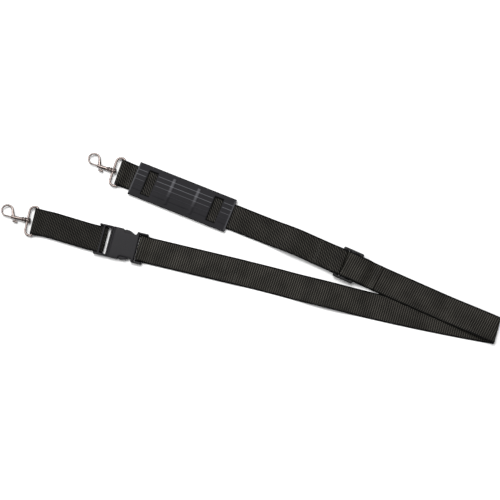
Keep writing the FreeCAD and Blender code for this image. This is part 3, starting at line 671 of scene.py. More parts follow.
LEAN = math.radians((UPPER_SLOPE["fold"] - LOWER_SLOPE["fold"]) / 2)
CREASE = heading_vector((UPPER_HEADING + LOWER_HEADING) / 2 - 90)
OUTWARD = np.cross(CREASE, UP)
DRIFT = math.pi * FOLD_RADIUS / 2 * math.tan(LEAN)
PAD_SIDE = heading_vector(UPPER_HEADING)
FLAT_HEIGHT = 1.9 * MM + THICK / 2
ARCH_RUN = 70.0 * MM
ARCH_HEIGHT = 3.5 * MM
ADJUSTER_TO_PAD = 257.0 * MM
PAD_TO_LOOP = 96.0 * MM
LOOP_TAIL = 18.0 * MM
SETTLE = 78.0 * MM
FOLD_CLEAR = 3 * MM
WOUND_MARGIN = 1 * MM
BAR_HEIGHT = 4.3 * MM
FEMALE_BAR = 2.0 * MM
MALE_BAR = 1.6 * MM


def pad_strap_route():
    """From its sewn tail round the adjuster's end bar, along the arm, round loop A's bar."""
    end_bar = CENTRE_BAR / 2 + ADJUSTER_SLOT + OUTER_BAR / 2
    start = PAD_SIDE * (ADJUSTER_FROM_FOLD + end_bar + ADJUSTER_TAIL)
    start = start + UP * (FRAME_MID - LAYER / 2)
    route = Route(start, UPPER_HEADING, backward=True)
    spread = WRAP - LAYER / 2
    route.run(ADJUSTER_TAIL - OUTER_BAR / 2 - TAPER)
    route.run(TAPER, rise=-spread)
    route.run(OUTER_BAR)
    route.bend(WRAP, 180)
    route.run(OUTER_BAR)
    route.run(TAPER, rise=-spread)
    route.run(ADJUSTER_TAIL - OUTER_BAR / 2 - TAPER)
    turn = UPPER_SLOPE["fold"] - UPPER_SLOPE["pad"]
    route.run(ARCH_RUN, turn=turn, rise=FLAT_HEIGHT - route.place[2], hump=ARCH_HEIGHT)
    gone = ADJUSTER_TAIL + ARCH_RUN + HALF_ADJUSTER - OUTER_BAR / 2
    route.run(ADJUSTER_TO_PAD - gone)
    around = LOOP_WIRE + MOVING_GAP + THICK / 2
    veer = UPPER_SLOPE["pad"] - UPPER_SLOPE["loop"]
    route.run(PAD_TO_LOOP - TAPER)
    route.run(TAPER, turn=veer, rise=LOOP_REST + around - FLAT_HEIGHT)
    bar = route.bend(around, -180)
    route.run(TAPER, turn=-veer, rise=FLAT_HEIGHT - LAYER - route.place[2])
    route.run(LOOP_TAIL - TAPER)
    return route, bar


PAD_ROUTE, LOOP_BAR = pad_strap_route()
SHIFT = pin("loop_a_tilt") - LOOP_BAR
SHIFT[2] = 0.0


def make_pad_strap():
    points, travel, across = PAD_ROUTE.rows()
    grid, run = strap_grid(points + SHIFT, travel, across)
    strap_object("pad_strap", "strap", grid, run, PAD_WEBBING)


def parting(curving):
    """Distance from the fold at which the arms, closing by curving, are a width apart."""
    return (2 * LEAN - math.sqrt(4 * LEAN ** 2 - 2 * curving * WIDTH)) / curving


def make_main_strap():
    """Adjuster's centre bar, upper arm, rolled fold, lower arm, buckle's bar."""
    reach = ADJUSTER_FROM_FOLD - HALF_ADJUSTER - HEM_TAIL
    start = PAD_SIDE * reach + UP * (STACKED + LAYER)
    upper = Route(start, UPPER_HEADING)
    upper.run(HEM_FLAT)
    upper.run(HEM_TAIL - OUTER_BAR - HEM_FLAT, rise=FRAME_MID + WRAP - start[2])
    upper.run(HALF_ADJUSTER + OUTER_BAR + CENTRE_BAR / 2)
    upper.bend(WRAP, -180)
    upper.run(HALF_ADJUSTER + CENTRE_BAR / 2)
    upper.run(HEM_TAIL - HEM_FLAT, rise=STACKED - upper.place[2])
    upper.run(HEM_FLAT)
    clear = WIDTH / 2 * math.tan(LEAN) + FOLD_CLEAR
    quarter = FOLD_RADIUS * math.pi / 2
    wound = quarter / math.cos(LEAN) + WIDTH / 2 * math.tan(LEAN) + WOUND_MARGIN
    flat_gap = wound - quarter / math.cos(LEAN)
    left = upper.place @ PAD_SIDE - flat_gap
    upper.run(left - SETTLE + (flat_gap - clear))
    upper.run(SETTLE + clear - flat_gap, rise=ON_FLOOR + 2 * FOLD_RADIUS - STACKED)
    points, travel, across = upper.rows()
    later_half = np.arange(len(points)) > len(points) // 2
    near = ease(1 - points @ PAD_SIDE / (SETTLE + clear)) * later_half
    points = points + CREASE * DRIFT * near[:, None]
    grid_upper, run_upper = strap_grid(points + SHIFT, travel, -across)
    grid_fold, run_fold = fold_grid(run_upper[-1], wound)
    lower_side = heading_vector(LOWER_HEADING)
    begin = -CREASE * DRIFT + lower_side * flat_gap + UP * ON_FLOOR
    lower = Route(begin, LOWER_HEADING)
    bend = LOWER_SLOPE["mid"] - LOWER_SLOPE["fold"]
    hump_start = parting(math.radians(bend) / LOWER_CURVED) + HUMP_MARGIN
    hump_run = LOWER_CURVED - hump_start
    plain = hump_start - flat_gap
    lower.run(plain, turn=-bend * plain / LOWER_CURVED)
    lower.run(hump_run, turn=-bend * hump_run / LOWER_CURVED, hump=HUMP)
    lower.run(LOWER_STRAIGHT, turn=LOWER_SLOPE["mid"] - LOWER_SLOPE["buckle"])
    lower.run(TAPER, rise=LAYER)
    lower.run(BUCKLE_TAIL - TAPER)
    around = FEMALE_BAR + BAR_GAP + THICK / 2
    bar_top = BAR_HEIGHT + around
    lower.run(TAPER, rise=bar_top - STACKED)
    lower.bend(around, -180)
    lower.run(TAPER, rise=ON_FLOOR - lower.place[2])
    lower.run(BUCKLE_TAIL - TAPER)
    points, travel, across = lower.rows()
    grid_lower, run_lower = strap_grid(points + SHIFT, travel, -across, start=run_fold[-1])
    grid = np.concatenate([grid_upper[:-1], grid_fold, grid_lower[1:]])
    run = np.concatenate([run_upper[:-1], run_fold, run_lower[1:]])
    strap_object("main_strap", "strap", grid, run, WEBBING)


def make_short_strap():
    """A doubled band between the male's bar and loop B's bar."""
    male_around = MALE_BAR + BAR_GAP + THICK / 2
    loop_around = LOOP_WIRE + MOVING_GAP + THICK / 2
    origin = BUCKLE.put([MALE_BAR_AT, 0, 0])
    heading = 180 - LOWER_SLOPE["buckle"]
    first = SHORT_SLOPE["mid"] - LOWER_SLOPE["buckle"]
    last = SHORT_SLOPE["mid"] - SHORT_SLOPE["loop"]
    middle = SHORT_RUN - 4 * TAPER
    upper = BAR_HEIGHT + LAYER / 2
    route = Route(origin + UP * (BAR_HEIGHT + male_around - origin[2]), heading)
    route.run(TAPER, rise=upper - route.place[2])
    route.run(TAPER, turn=-first)
    route.run(middle)
    route.run(TAPER, turn=last)
    route.run(TAPER, rise=LOOP_REST + loop_around - upper)
    route.bend(loop_around, -180)
    lower = BAR_HEIGHT - LAYER / 2
    route.run(TAPER, rise=lower - route.place[2])
    route.run(TAPER, turn=-last)
    route.run(middle)
    route.run(TAPER, turn=first)
    route.run(TAPER, rise=BAR_HEIGHT - male_around - lower)
    route.bend(male_around, 180)
    points, travel, across = route.rows()
    grid, run = strap_grid(points[:-1], travel[:-1], across[:-1], strength=SHORT_UNEVEN)
    strap_object("short_strap", "male", grid, run, SHORT_WEBBING)


# ---- frames of the hard parts

PLATE_END = 19.8
MALE_BAR_AT = 9.6
FEMALE_BAR_AT = 63.4
BUCKLE_X = unit(way("buckle_draw") * -1)
PRONG_ROOT = (pin("prong_rear_squeeze") + pin("prong_front_squeeze")) / 2
BUCKLE = Place(PRONG_ROOT - BUCKLE_X * PLATE_END * MM - UP * PRONG_ROOT[2], BUCKLE_X)


def rides(piece, body, node):
    """The piece moves with a body and stands for a node."""
    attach(piece, body)
    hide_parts(node)
    return piece


# ---- swivel bolt snaps

# millimetres in the snap's own frame: X runs from the swivel towards the eye
EYE = (31.7, -7.8, 0.0)
EYE_WIRE_MIDDLE = 7.85
RING_WIRE = 1.65
RING_HALF = 38.0 / 2 + 0.5 + RING_WIRE
RING_FRONT, RING_BACK = 7.0, 2.5
RING_REACH = -11.0
BOSS = [(-2.1, 1.62), (-2.1, 2.5), (-1.7, 2.95), (0, 3.15), (1.7, 2.95), (2.1, 2.5), (2.1, 1.62)]
RIVET_FACE = -2.3
RIVET_TAIL = [(RIVET_FACE, 3.7), (RIVET_FACE, 1.5), (4.2, 1.5)]
BORE = 1.25
SLOT_START, SLOT_END, SLOT_HALF_ANGLE = 8.5, 18.0, 0.36
BOLT_ROD = (16.0, 32.6, 1.1, 0.5)
STUD_STEM = [(0.3, 0.65), (4.0, 0.65), (4.4, 0.85)]
STUD_BAR = (-3.5, 3.5, 1.5, 0.8)
STUD_AT, STUD_SIDE = 17.2, 5.6
SPRING_START, SPRING_END, SPRING_FIXED = 4.55, 15.75, 4.4
SPRING_TURNS, SPRING_RADIUS, SPRING_WIRE, SPRING_KEEP = 8.0, 0.9, 0.15, 0.31
SPRING_POINTS, SPRING_AROUND = 160, 8


def make_snap(side):
    """Loop, rivet, hook, bolt, thumb stud and spring of one snap."""
    place = Place(pin(f"hook_{side}_swivel"), way(f"hook_{side}_swivel"))
    make_loop(side, place)
    make_rivet(side, place)
    make_hook(side, place)
    make_bolt(side, place)


def make_loop(side, place):
    """Round wire along a square ring with rounded corners, and a turned boss."""
    half, big, small = RING_HALF, RING_FRONT, RING_BACK
    path = np.concatenate([
        arc((-big, half - big, 0), big, 0, 90, 9),
        arc((RING_REACH + small, half - small, 0), small, 90, 180, 7),
        arc((RING_REACH + small, small - half, 0), small, 180, 270, 7),
        arc((-big, big - half, 0), big, 270, 360, 9),
    ])
    made = Shapes().add(*tube(path, RING_WIRE, RING_WIRE, closed=True)).add(*turned(BOSS))
    made.fit(f"loop_{side}_ring", "nickel_plate", place, f"loop_{side}", f"swivel_loop_{side}")


def make_rivet(side, place):
    """A domed head inside the loop, and the stem through the boss."""
    turn = np.linspace(0, math.pi / 2, 8)[::-1]
    dome = [(RIVET_FACE - 2.4 * math.sin(a) * 0.98, 4.0 * math.cos(a) + 0.02) for a in turn]
    made = Shapes().add(*turned(dome + RIVET_TAIL))
    made.fit(f"rivet_{side}_turned", "nickel_plate", place, f"hook_{side}", f"swivel_rivet_{side}")


def shank_wall():
    """The barrel and shank as one turned wall, open along a slot for the stud's stem.

    Radius along the length: two beads on the barrel, a waist, then the straight shank.
    """
    places = np.array([2.3, 2.3, 2.7, 3.3, 3.8, 4.2, 5.2, 6.1, 6.5, 7.1, 7.6, 8.1, 8.6, 9.4, 10.0,
                       10.6, 11.5, 13.0, 14.7, 16.3, 17.9, 18.7, 20.1, 21.8, 23.5, 24.1, 24.3, 24.3])
    radii = np.array([1.6, 3.2, 3.7, 3.8, 3.6, 3.0, 2.9, 3.0, 3.6, 3.8, 3.6, 2.9, 2.55, 2.4, 2.36,
                      2.35, 2.35, 2.35, 2.35, 2.35, 2.38, 2.4, 2.42, 2.45, 2.4, 2.2, 1.9, 1.25])
    around = 48
    angle = np.linspace(0, 2 * math.pi, around, endpoint=False) + math.pi / around
    along = np.repeat(places[:, None], around, 1)
    rows = np.stack([along, radii[:, None] * np.cos(angle), radii[:, None] * np.sin(angle)], -1)
    inner = np.minimum(radii, BORE)
    bore = np.stack([along, inner[:, None] * np.cos(angle), inner[:, None] * np.sin(angle)], -1)
    open_row = (places[:-1] >= SLOT_START) & (places[1:] <= SLOT_END)
    from_slot = np.abs((angle + math.pi / around + math.pi) % (2 * math.pi) - math.pi)
    turned_away = from_slot < SLOT_HALF_ANGLE
    i, j = np.meshgrid(np.arange(len(places) - 1), np.arange(around), indexing="ij")
    wall = ~(open_row[i] & turned_away[j])
    beside = (j + 1) % around
    low, high = i * around, (i + 1) * around
    outer = np.stack([low + j, low + beside, high + beside, high + j], -1)
    start = len(places) * around
    faces = outer[wall].tolist() + (outer[wall][:, ::-1] + start).tolist()
    faces += slot_walls(wall, i, j, around, start, outer)
    faces += [[k + start for k in range(around)][::-1]]
    return np.concatenate([rows.reshape(-1, 3), bore.reshape(-1, 3)]), faces


def slot_walls(wall, i, j, around, start, outer):
    """Short walls between the outer and bore skins round the slot's edge."""
    faces = []
    gaps = ~wall
    for row, column in zip(*np.nonzero(gaps)):
        quad = outer[row, column]
        neighbours = [
            (gaps[row - 1, column] if row else False, quad[0], quad[1]),
            (gaps[(row + 1) % gaps.shape[0], column], quad[2], quad[3]),
            (gaps[row, (column - 1) % around], quad[3], quad[0]),
            (gaps[row, (column + 1) % around], quad[1], quad[2]),
        ]
        faces += [[b, a, a + start, b + start][::-1] for open_too, a, b in neighbours if not open_too]
    return faces


def make_hook(side, place):
    """Eye swept round a circle and down the spine into the shank, plus the shank's wall."""
    eye = arc(EYE, EYE_WIRE_MIDDLE, 88, -166, 72)
    spine = np.stack([np.linspace(23.9, 20.9, 14), np.linspace(-9.0, 0.1, 14), np.zeros(14)], -1)
    path = np.concatenate([eye, spine])
    share = np.linspace(0, 1, len(path))
    wide = np.interp(share, [0, 0.04, 0.5, 0.72, 0.86, 0.95, 1.0], [0.9, 1.25, 1.3, 1.45, 1.9, 2.3, 2.5])
    tall = np.interp(share, [0, 0.04, 0.5, 0.8, 1.0], [0.95, 1.35, 1.4, 1.6, 1.8])
    made = Shapes().add(*tube(path, wide, tall, around=20)).add(*shank_wall())
    made.fit(f"hook_{side}_cast", "nickel_plate", place, f"hook_{side}", f"snap_hook_{side}")


def make_bolt(side, place):
    """The plunger and the thumb stud across it, which ride the bolt, and the spring, which rides the
    hook and keeps its full length when the bolt moves.
    """
    shaft = Shapes().add(*turned(rounded_rod(*BOLT_ROD), around=28))
    body = f"bolt_{side}"
    shaft.fit(f"bolt_{side}_turned", "nickel_plate", place, body, f"snap_bolt_{side}")
    stud = Shapes()
    stem, stem_faces = turned(STUD_STEM, axis="y", around=20)
    stud.add(stem + np.array([STUD_AT, 0, 0]), stem_faces)
    bar, bar_faces = turned(rounded_rod(*STUD_BAR), around=28)
    stud.add(bar + np.array([STUD_AT, STUD_SIDE, 0]), bar_faces)
    stud.fit(f"stud_{side}_turned", "nickel_plate", place, body, f"thumb_stud_{side}")
    turn = np.linspace(0, 2 * math.pi * SPRING_TURNS, SPRING_POINTS)
    along = np.linspace(SPRING_START, SPRING_END, SPRING_POINTS)
    coil = np.stack([along, SPRING_RADIUS * np.cos(turn), SPRING_RADIUS * np.sin(turn)], -1)
    ahead = unit(np.gradient(coil, axis=0))
    out = unit(coil * [0, 1, 1])
    side_way = np.cross(ahead, out)
    angle = np.linspace(0, 2 * math.pi, SPRING_AROUND, endpoint=False)[None, :, None]
    ring = out[:, None] * np.cos(angle) + side_way[:, None] * np.sin(angle)
    faces = grid_faces(SPRING_POINTS, SPRING_AROUND, wrap_columns=True)
    spring = Shapes().add(coil[:, None] + SPRING_WIRE * ring, faces)
    coil_name, node = f"spring_{side}_coil", f"bolt_spring_{side}"
    piece = spring.fit(coil_name, "spring_steel", place, f"hook_{side}", node)
    fixed_end = place.put([SPRING_FIXED, 0.0, 0.0])
    tuple(place.x)
    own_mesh(piece)


# ---- plates


def lines(edges, soft, step):
    """Grid lines over a span: close together within soft of each edge, then even."""
    near = soft * (1 - np.cos(np.linspace(0, math.pi / 2, 5)))
    found = []
    for low, high in zip(edges, edges[1:]):
        inside = np.linspace(low + soft, high - soft, max(int((high - low - 2 * soft) / step), 1) + 1)
        found += [low + near, inside, high - near]
    flat = np.unique(np.round(np.concatenate(found), 5))
    keep = np.concatenate([[True], np.diff(flat) > 1e-4])
    return flat[keep]


def level(value):
    """The same value over a whole plate."""
    return lambda x, y: np.full(x.shape, value)


EVERYWHERE = level(True)


def plate(xs, ys, kept, height, depth, outline=None):
    """A sheet with thickness over a grid of cells, walled wherever a kept cell ends.

    height and depth give the top and bottom surfaces from x and y; outline moves the
    plan points, as for a curved side.
    """
    x, y = np.meshgrid(xs, ys, indexing="ij")
    if outline is not None:
        x, y = outline(x, y)
    top = np.stack([x, y, height(x, y)], -1).reshape(-1, 3)
    low = np.stack([x, y, depth(x, y)], -1).reshape(-1, 3)
    columns = len(ys)
    middle_x, middle_y = np.meshgrid((xs[1:] + xs[:-1]) / 2, (ys[1:] + ys[:-1]) / 2, indexing="ij")
    mask = kept(middle_x, middle_y)
    i, j = np.nonzero(mask)
    near, far = i * columns + j, (i + 1) * columns + j
    quad = np.stack([near, far, far + 1, near + 1], -1)
    count = len(top)
    faces = [quad, quad[:, ::-1] + count]
    padded = np.pad(mask, 1)
    sides = [(-1, 0, 3, 0), (1, 0, 1, 2), (0, -1, 0, 1), (0, 1, 2, 3)]
    for di, dj, a, b in sides:
        bare = ~padded[i + 1 + di, j + 1 + dj]
        first, second = quad[bare, a], quad[bare, b]
        faces.append(np.stack([second, first, first + count, second + count], -1))
    used, index = np.unique(np.concatenate(faces), return_inverse=True)
    vertices = np.concatenate([top, low])[used]
    return vertices, index.reshape(-1, 4).tolist()


def rounded(distance, soft):
    """How far a surface falls within soft of its rim, as a quarter circle."""
    inside = np.clip(distance, 0, soft)
    return soft - np.sqrt(np.maximum(soft**2 - (soft - inside) ** 2, 0))


def box_distance(x, y, half_x, half_y, cx=0.0):
    """Distance inside (positive) or outside (negative) a rectangle's rim."""
    return np.minimum(half_x - np.abs(x - cx), half_y - np.abs(y))


# ---- shoulder pad

PAD_HALF = (75.0, 25.3)
PAD_X, PAD_Y = PAD_HALF
WINDOW_AT = PAD_X - 24.3
WINDOW_HALF = (6.7, 18.6)
WINDOW_X, WINDOW_Y = WINDOW_HALF
RIB_AT = PAD_X - 56.0
RIB_HALF, RIB_REACH, RIB_LIFT = 2.1, 20.0, 0.8
LANE_HALF, LANE_PITCH, LANE_LIFT = 0.5, 7.2, 0.45
LANES_END, TABS_START, TABS_END = WINDOW_AT - 8.0, WINDOW_AT + 8.2, 73.5
LIP_AT, LIP_HALF, LIP_REACH, LIP_LIFT = 74.2, 0.8, 23.5, 0.3
PAD_UNDERSIDE = 1.9 + 1.6 + 0.35
PAD_THICK, PAD_SOFT = 3.2, 1.1
KEEPER_HALF, KEEPER_IN, KEEPER_OUT = 6.0, 21.9, 25.0
KEEPER_LOW, KEEPER_TOP, KEEPER_SOFT = 0.25, 1.55, 0.5


def make_pad():
    """A crowned rubber plate with two windows, two cross ribs and raised lines."""
    low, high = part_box("shoulder_pad")
    middle = (np.array(low) + np.array(high)) / 2
    middle[2] = 0.0
    place = Place(middle, heading_vector(PAD_HEADING))
    edges = [WINDOW_AT - WINDOW_X, WINDOW_AT + WINDOW_X, PAD_X]
    xs = lines([-edge for edge in edges[::-1]] + edges, PAD_SOFT, 1.4)
    ys = lines([-PAD_Y, -WINDOW_Y, WINDOW_Y, PAD_Y], PAD_SOFT, 0.45)

    def kept(x, y):
        return ~((np.abs(np.abs(x) - WINDOW_AT) < WINDOW_X) & (np.abs(y) < WINDOW_Y))

    def rim(x, y):
        windows = np.minimum(
            -box_distance(x, y, *WINDOW_HALF, cx=WINDOW_AT),
            -box_distance(x, y, *WINDOW_HALF, cx=-WINDOW_AT),
        )
        return np.minimum(box_distance(x, y, *PAD_HALF), windows)

    def ridge(distance, half):
        return np.clip(1.25 - (np.abs(distance) / half) ** 2, 0, 1)

    def raised(x, y):
        out, aside = np.abs(x), np.abs(y)
        cross = ridge(out - RIB_AT, RIB_HALF) * (aside < RIB_REACH)
        lanes = np.max([ridge(y - LANE_PITCH * number, LANE_HALF) for number in range(-2, 3)], axis=0)
        shown = (out < LANES_END) | ((out > TABS_START) & (out < TABS_END))
        lip = ridge(out - LIP_AT, LIP_HALF) * (aside < LIP_REACH)
        return RIB_LIFT * cross, LANE_LIFT * lanes * shown, LIP_LIFT * lip

    def height(x, y):
        crown = 0.9 * (y / PAD_Y) ** 2 + 0.3 * (x / PAD_X) ** 4
        face = PAD_UNDERSIDE + PAD_THICK - crown + np.max(raised(x, y), axis=0)
        return face - rounded(rim(x, y), PAD_SOFT)

    # Painted highlight: raised ribs, lanes and end lips made pale on the top faces, more on the side
    # towards the back lamp.
    def painted_highlight(x, y, z):
        cross, lanes, lip = raised(x, y)
        toward_lit_side = ease((13.0 - y) / 24.0)
        highlight_amount = 0.55 * cross * toward_lit_side + 1.5 * lanes * toward_lit_side + 1.2 * lip
        return np.clip(highlight_amount, 0, 0.9) * (z > PAD_UNDERSIDE + 1.2)

    def depth(x, y):
        return PAD_UNDERSIDE + rounded(rim(x, y), 0.5)

    made = Shapes().add(*plate(xs, ys, kept, height, depth))
    for sign in (-1, 1):
        middle = sign * WINDOW_AT
        keeper_xs = lines([middle - KEEPER_HALF, middle + KEEPER_HALF], KEEPER_SOFT, 2.0)
        keeper_ys = lines([-KEEPER_OUT, -KEEPER_IN, KEEPER_IN, KEEPER_OUT], KEEPER_SOFT, 3.0)
        made.add(*plate(
            keeper_xs, keeper_ys, EVERYWHERE, level(KEEPER_TOP),
            lambda x, y: KEEPER_LOW + rounded(KEEPER_OUT - np.abs(y), KEEPER_SOFT),
        ))
        for flank in (-1, 1):
            wall_ys = lines(sorted([flank * KEEPER_IN, flank * KEEPER_OUT]), KEEPER_SOFT, 1.0)
            made.add(*plate(keeper_xs, wall_ys, EVERYWHERE, level(PAD_UNDERSIDE + 0.6), level(1.4)))
    pad = made.fit("pad_moulding", "pad_rubber", place, "pad", "shoulder_pad")
    # painted highlight amounts for each vertex, read by the pad rubber
    add_attribute(pad, "painted_highlight", painted_highlight(*np.concatenate(made.vertices).T))


# ---- slide adjuster


FRAME_HALF_WIDTH = 23.0
FRAME_INNER = 19.4
FRAME_SOFT = 0.8
FRAME_CORNER = 3.0
FRAME_HALF_THICK = 1.5


def make_adjuster():
    """A three-bar frame with soft edges, rounded corners and two slots."""
    low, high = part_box("slide_adjuster")
    place = Place((np.array(low) + np.array(high)) / 2, PAD_SIDE)
    bar, slot = CENTRE_BAR / MM / 2, ADJUSTER_SLOT / MM
    half_x, half_y = HALF_ADJUSTER / MM, FRAME_HALF_WIDTH
    inner, corner = FRAME_INNER, FRAME_CORNER
    middle = bar + slot / 2
    xs = lines([-half_x, -bar - slot, -bar, bar, bar + slot, half_x], FRAME_SOFT, 1.2)
    ys = lines([-half_y, -inner, inner, half_y], FRAME_SOFT, 1.6)

    def kept(x, y):
        return ~((np.abs(np.abs(x) - middle) < slot / 2) & (np.abs(y) < inner))

    def rim(x, y):
        slots = -box_distance(np.abs(x), y, slot / 2, inner, cx=middle)
        return np.minimum(box_distance(x, y, half_x, half_y), slots)

    def outline(x, y):
        dx = np.maximum(np.abs(x) - (half_x - corner), 0)
        dy = np.maximum(np.abs(y) - (half_y - corner), 0)
        reach = np.maximum(np.hypot(dx, dy), 1e-9)
        shrink = np.where(reach > corner, corner / reach, 1.0)
        new_x = np.sign(x) * (np.minimum(np.abs(x), half_x - corner) + dx * shrink)
        new_y = np.sign(y) * (np.minimum(np.abs(y), half_y - corner) + dy * shrink)
        return new_x, new_y

    def height(x, y):
        return FRAME_HALF_THICK - rounded(rim(x, y), FRAME_SOFT)

    made = Shapes().add(*plate(xs, ys, kept, height, lambda x, y: -height(x, y), outline))
    made.fit("adjuster_frame", "adjuster_plastic", place, "strap", "slide_adjuster")


# ---- side-release buckle

# millimetres in the buckle's own frame: X runs from the male's end to the female's
HALF_BUCKLE = 22.2
TALL = 10.4
WALL = 1.7
WAIST = 4.7
MOUTH, HOUSING_END = 20.4, 58.6
GROOVE_AT, GROOVE_SIZE = 23.0, 0.55
SKIN_SOFT = 1.0
RAIL_INNER = 19.6
BAR_HALF, BAR_UP = 21.2, 4.3
FEMALE_BAR_RADIUS, MALE_BAR_RADIUS = 2.0, 1.6
PRONG_START, PRONG_TIP = 20.1, 53.6
PRONG_LOW, PRONG_TOP, PRONG_SOFT = 2.5, 7.9, 1.2


def slab(x0, x1, y0, y1, z0, z1, soft):
    """A block with softened rims on its top and bottom faces."""
    def rim(x, y):
        return np.minimum(np.minimum(x - x0, x1 - x), np.minimum(y - y0, y1 - y))

    return plate(
        lines([x0, x1], soft, 2.0), lines([y0, y1], soft, 2.0), EVERYWHERE,
        lambda x, y: z1 - rounded(rim(x, y), soft), lambda x, y: z0 + rounded(rim(x, y), soft),
    )


def webbing_bar(at, radius):
    """A round bar across the buckle, which webbing goes round."""
    rod = rounded_rod(-BAR_HALF, BAR_HALF, radius, 0.3)
    bar, faces = turned(rod, axis="y", centre=(BAR_UP, 0.0), around=24)
    return bar + np.array([at, 0, 0]), faces


def shell_half(x):
    """Half the housing's width: full at the mouth, drawn in beside the side windows."""
    return HALF_BUCKLE - WAIST * (ease((x - 34.4) / 3.2) - ease((x - 54.2) / 1.2))


def make_female():
    """Top and bottom skins drawn in at the windows, walls, rails and a round bar."""
    xs = lines([MOUTH, 22.6, HOUSING_END], 0.6, 0.8)
    ys = lines([-HALF_BUCKLE, HALF_BUCKLE], SKIN_SOFT, 2.2)

    def outline(x, y):
        return x, y * shell_half(x) / HALF_BUCKLE

    def rim(x, y):
        return np.minimum(shell_half(x) - np.abs(y), np.minimum(x - MOUTH, HOUSING_END - x))

    def top(x, y):
        crown = 0.55 * (y / HALF_BUCKLE) ** 4
        groove = GROOVE_SIZE * np.exp(-(((x - GROOVE_AT) / GROOVE_SIZE) ** 2))
        return TALL - crown - groove - rounded(rim(x, y), SKIN_SOFT)

    def under(x, y):
        return rounded(rim(x, y), SKIN_SOFT)

    made = Shapes().add(*plate(xs, ys, EVERYWHERE, top, level(TALL - WALL), outline))
    made.add(*plate(xs, ys, EVERYWHERE, level(WALL), under, outline))
    for sign in (-1, 1):
        near, far = sorted([sign * (HALF_BUCKLE - WALL), sign * (HALF_BUCKLE - 0.15)])
        made.add(*slab(20.7, 35.0, near, far, 0.8, TALL - 1.2, 0.3))
        near, far = sorted([sign * RAIL_INNER, sign * HALF_BUCKLE])
        made.add(*slab(55.6, 70.6, near, far, 0.6, 9.0, 0.8))
    made.add(*slab(55.0, 58.5, -HALF_BUCKLE + 0.2, HALF_BUCKLE - 0.2, 0.8, TALL - 1.2, 0.3))
    made.add(*webbing_bar(FEMALE_BAR_AT, FEMALE_BAR_RADIUS))
    made.fit("buckle_housing", "buckle_plastic", BUCKLE, "strap", "buckle_female")


def make_male():
    """Rails, cover rib, root plate, guide tongue and a round webbing bar."""
    made = Shapes()
    for sign in (-1, 1):
        near, far = sorted([sign * RAIL_INNER, sign * HALF_BUCKLE])
        made.add(*slab(0.0, 17.9, near, far, 0.6, 9.6, 0.9))
    made.add(*slab(5.6, 8.2, -BAR_HALF, BAR_HALF, 8.0, 9.6, 0.6))
    made.add(*slab(17.2, PLATE_END, -HALF_BUCKLE, HALF_BUCKLE, 2.05, 8.35, 0.5))
    made.add(*slab(17.6, 48.4, -3.0, 3.0, 3.2, 7.2, 0.8))
    made.add(*webbing_bar(MALE_BAR_AT, MALE_BAR_RADIUS))
    made.fit("buckle_root", "buckle_plastic", BUCKLE, "male", "buckle_male")


PRONG_OUTER = np.array([
    (20.1, 15.0), (28, 15.3), (33, 16.2), (35.2, 18.0), (35.8, 20.6), (36.8, 21.5), (39, 22.0),
    (43, 21.7), (46, 20.8), (48.5, 19.5), (51, 17.9), (52.8, 16.6), (53.6, 15.2),
])
PRONG_INNER = np.array([(20.1, 12.0), (35, 12.6), (46, 12.7), (50, 13.1), (53.6, 14.2)])


def make_prong(side, sign):
    """A springy arm whose shoulder swells to the housing's side between two curves."""
    inner = lambda x: np.interp(x, *PRONG_INNER.T)
    outer = lambda x: np.interp(x, *PRONG_OUTER.T)
    shares = np.array([0, 0.03, 0.08, 0.15, 0.3, 0.5, 0.7, 0.85, 0.92, 0.97, 1.0])

    def outline(x, share):
        toward = share if sign > 0 else 1 - share
        return x, sign * (inner(x) + (outer(x) - inner(x)) * toward)

    def fall(x, y):
        edge = np.minimum(np.abs(y) - inner(x), outer(x) - np.abs(y))
        return rounded(np.minimum(edge, PRONG_TIP + 0.2 - x), PRONG_SOFT)

    made = Shapes().add(*plate(
        lines([PRONG_START, PRONG_TIP], 0.6, 0.7), shares, EVERYWHERE,
        lambda x, y: PRONG_TOP - fall(x, y), lambda x, y: PRONG_LOW + fall(x, y), outline,
    ))
    body, node = f"prong_{side}", f"buckle_prong_{side}"
    made.fit(f"prong_{side}_arm", "buckle_plastic", BUCKLE, body, node)


# ---- stitching

THREAD_LIFT = 0.30 * MM
STITCH_HALF = 1.15 * MM
STITCH_PITCH = 3.2 * MM
STITCH_COUNT = 11
THREAD_RADIUS = 0.3 * MM
THREAD_AROUND = 10
THREAD_PLACES = np.array([-1, -0.97, -0.8, 0, 0.8, 0.97, 1])
THREAD_GIRTH = np.array([0.05, 0.45, 0.85, 1.0, 0.85, 0.45, 0.05])
THREAD_SINK = np.array([0.16, 0.13, 0.05, 0, 0.05, 0.13, 0.16]) * MM
PAIR_GAPS = (0, 3 * MM)
BUCKLE_ROWS = (-124 * MM, -141 * MM)


def stitch_rows(node, body, rows):
    """Short thread bars across the webbing; each row is (middle on top, heading)."""
    angle = np.linspace(0, math.pi * 2, THREAD_AROUND, endpoint=False)
    faces = skin(len(THREAD_PLACES), THREAD_AROUND)
    faces[-2:] = [cap[::-1] for cap in faces[-2:]]
    offsets = (np.arange(STITCH_COUNT) - (STITCH_COUNT - 1) / 2) * STITCH_PITCH
    made = Shapes()
    for middle, heading in rows:
        along = heading_vector(heading)
        across = np.cross(UP, along)
        ring = along * np.cos(angle)[:, None] + UP * np.sin(angle)[:, None]
        for offset in offsets:
            spine = middle + across * (offset + THREAD_PLACES * STITCH_HALF)[:, None]
            spine = spine + UP * (THREAD_LIFT - THREAD_SINK)[:, None]
            made.add(spine[:, None] + ring * (THREAD_RADIUS * THREAD_GIRTH)[:, None, None], faces)
    thread = BAND_THREAD if body == "male" else THREAD
    rides(made.made(node + "_thread", thread), body, node)


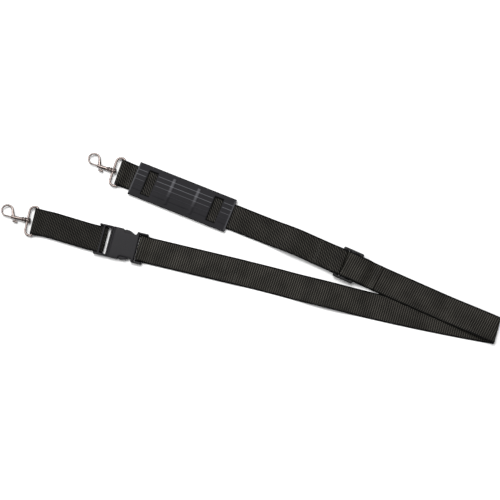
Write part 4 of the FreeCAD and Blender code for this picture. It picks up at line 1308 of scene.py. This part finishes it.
def on_strap(origin, heading, distance, height):
    """A point on top of the webbing, a distance along a heading from a bar."""
    place = np.array(origin) + heading_vector(heading) * distance
    return np.array([place[0], place[1], height])


def make_stitching():
    """The rows on the upper side: at the buckle, loops, adjuster and hem."""
    back = 180 - LOWER_SLOPE["buckle"]
    short = 180 - SHORT_SLOPE["mid"]
    female_bar = BUCKLE.put([FEMALE_BAR_AT, 0, 0])
    male_bar = BUCKLE.put([MALE_BAR_AT, 0, 0])
    pair_top = STACKED + ON_FLOOR
    stitch_rows("buckle_end_stitching", "strap", [
        (on_strap(female_bar, back, distance, pair_top), back) for distance in BUCKLE_ROWS
    ])
    loop_top = FLAT_HEIGHT + ON_FLOOR
    stitch_rows("loop_end_stitching", "strap", [
        (on_strap(pin("loop_a_tilt"), PAD_HEADING, -17 * MM, loop_top), PAD_HEADING),
    ])
    tail = CENTRE_BAR / 2 + ADJUSTER_SLOT + OUTER_BAR / 2 + ADJUSTER_TAIL - 4 * MM
    doubled = FRAME_MID + LAYER / 2 + ON_FLOOR
    stitch_rows("adjuster_end_stitching", "strap", [
        (on_strap(SHIFT, UPPER_HEADING, ADJUSTER_FROM_FOLD + tail - gap, doubled), UPPER_HEADING)
        for gap in PAIR_GAPS
    ])
    hem = ADJUSTER_FROM_FOLD - HALF_ADJUSTER - HEM_TAIL + 4 * MM
    hem_top = STACKED + LAYER + ON_FLOOR
    stitch_rows("hem_stitching", "strap", [
        (on_strap(SHIFT, UPPER_HEADING, hem + gap, hem_top), UPPER_HEADING) for gap in PAIR_GAPS
    ])
    short_top = BAR_HEIGHT + LAYER / 2 + ON_FLOOR
    stitch_rows("short_male_stitching", "male", [
        (on_strap(male_bar, back, TAPER + 11 * MM, short_top), short),
    ])
    stitch_rows("short_loop_stitching", "male", [
        (on_strap(pin("loop_b_tilt"), short, -TAPER - 2 * MM, short_top), short),
    ])


# ---- put together

make_camera()
make_room()
make_floor(floor_white())
make_main_strap()
make_pad_strap()
make_short_strap()
make_snap("a")
make_snap("b")
make_pad()
make_adjuster()
make_female()
make_male()
make_prong("rear", 1)
make_prong("front", -1)
make_stitching()
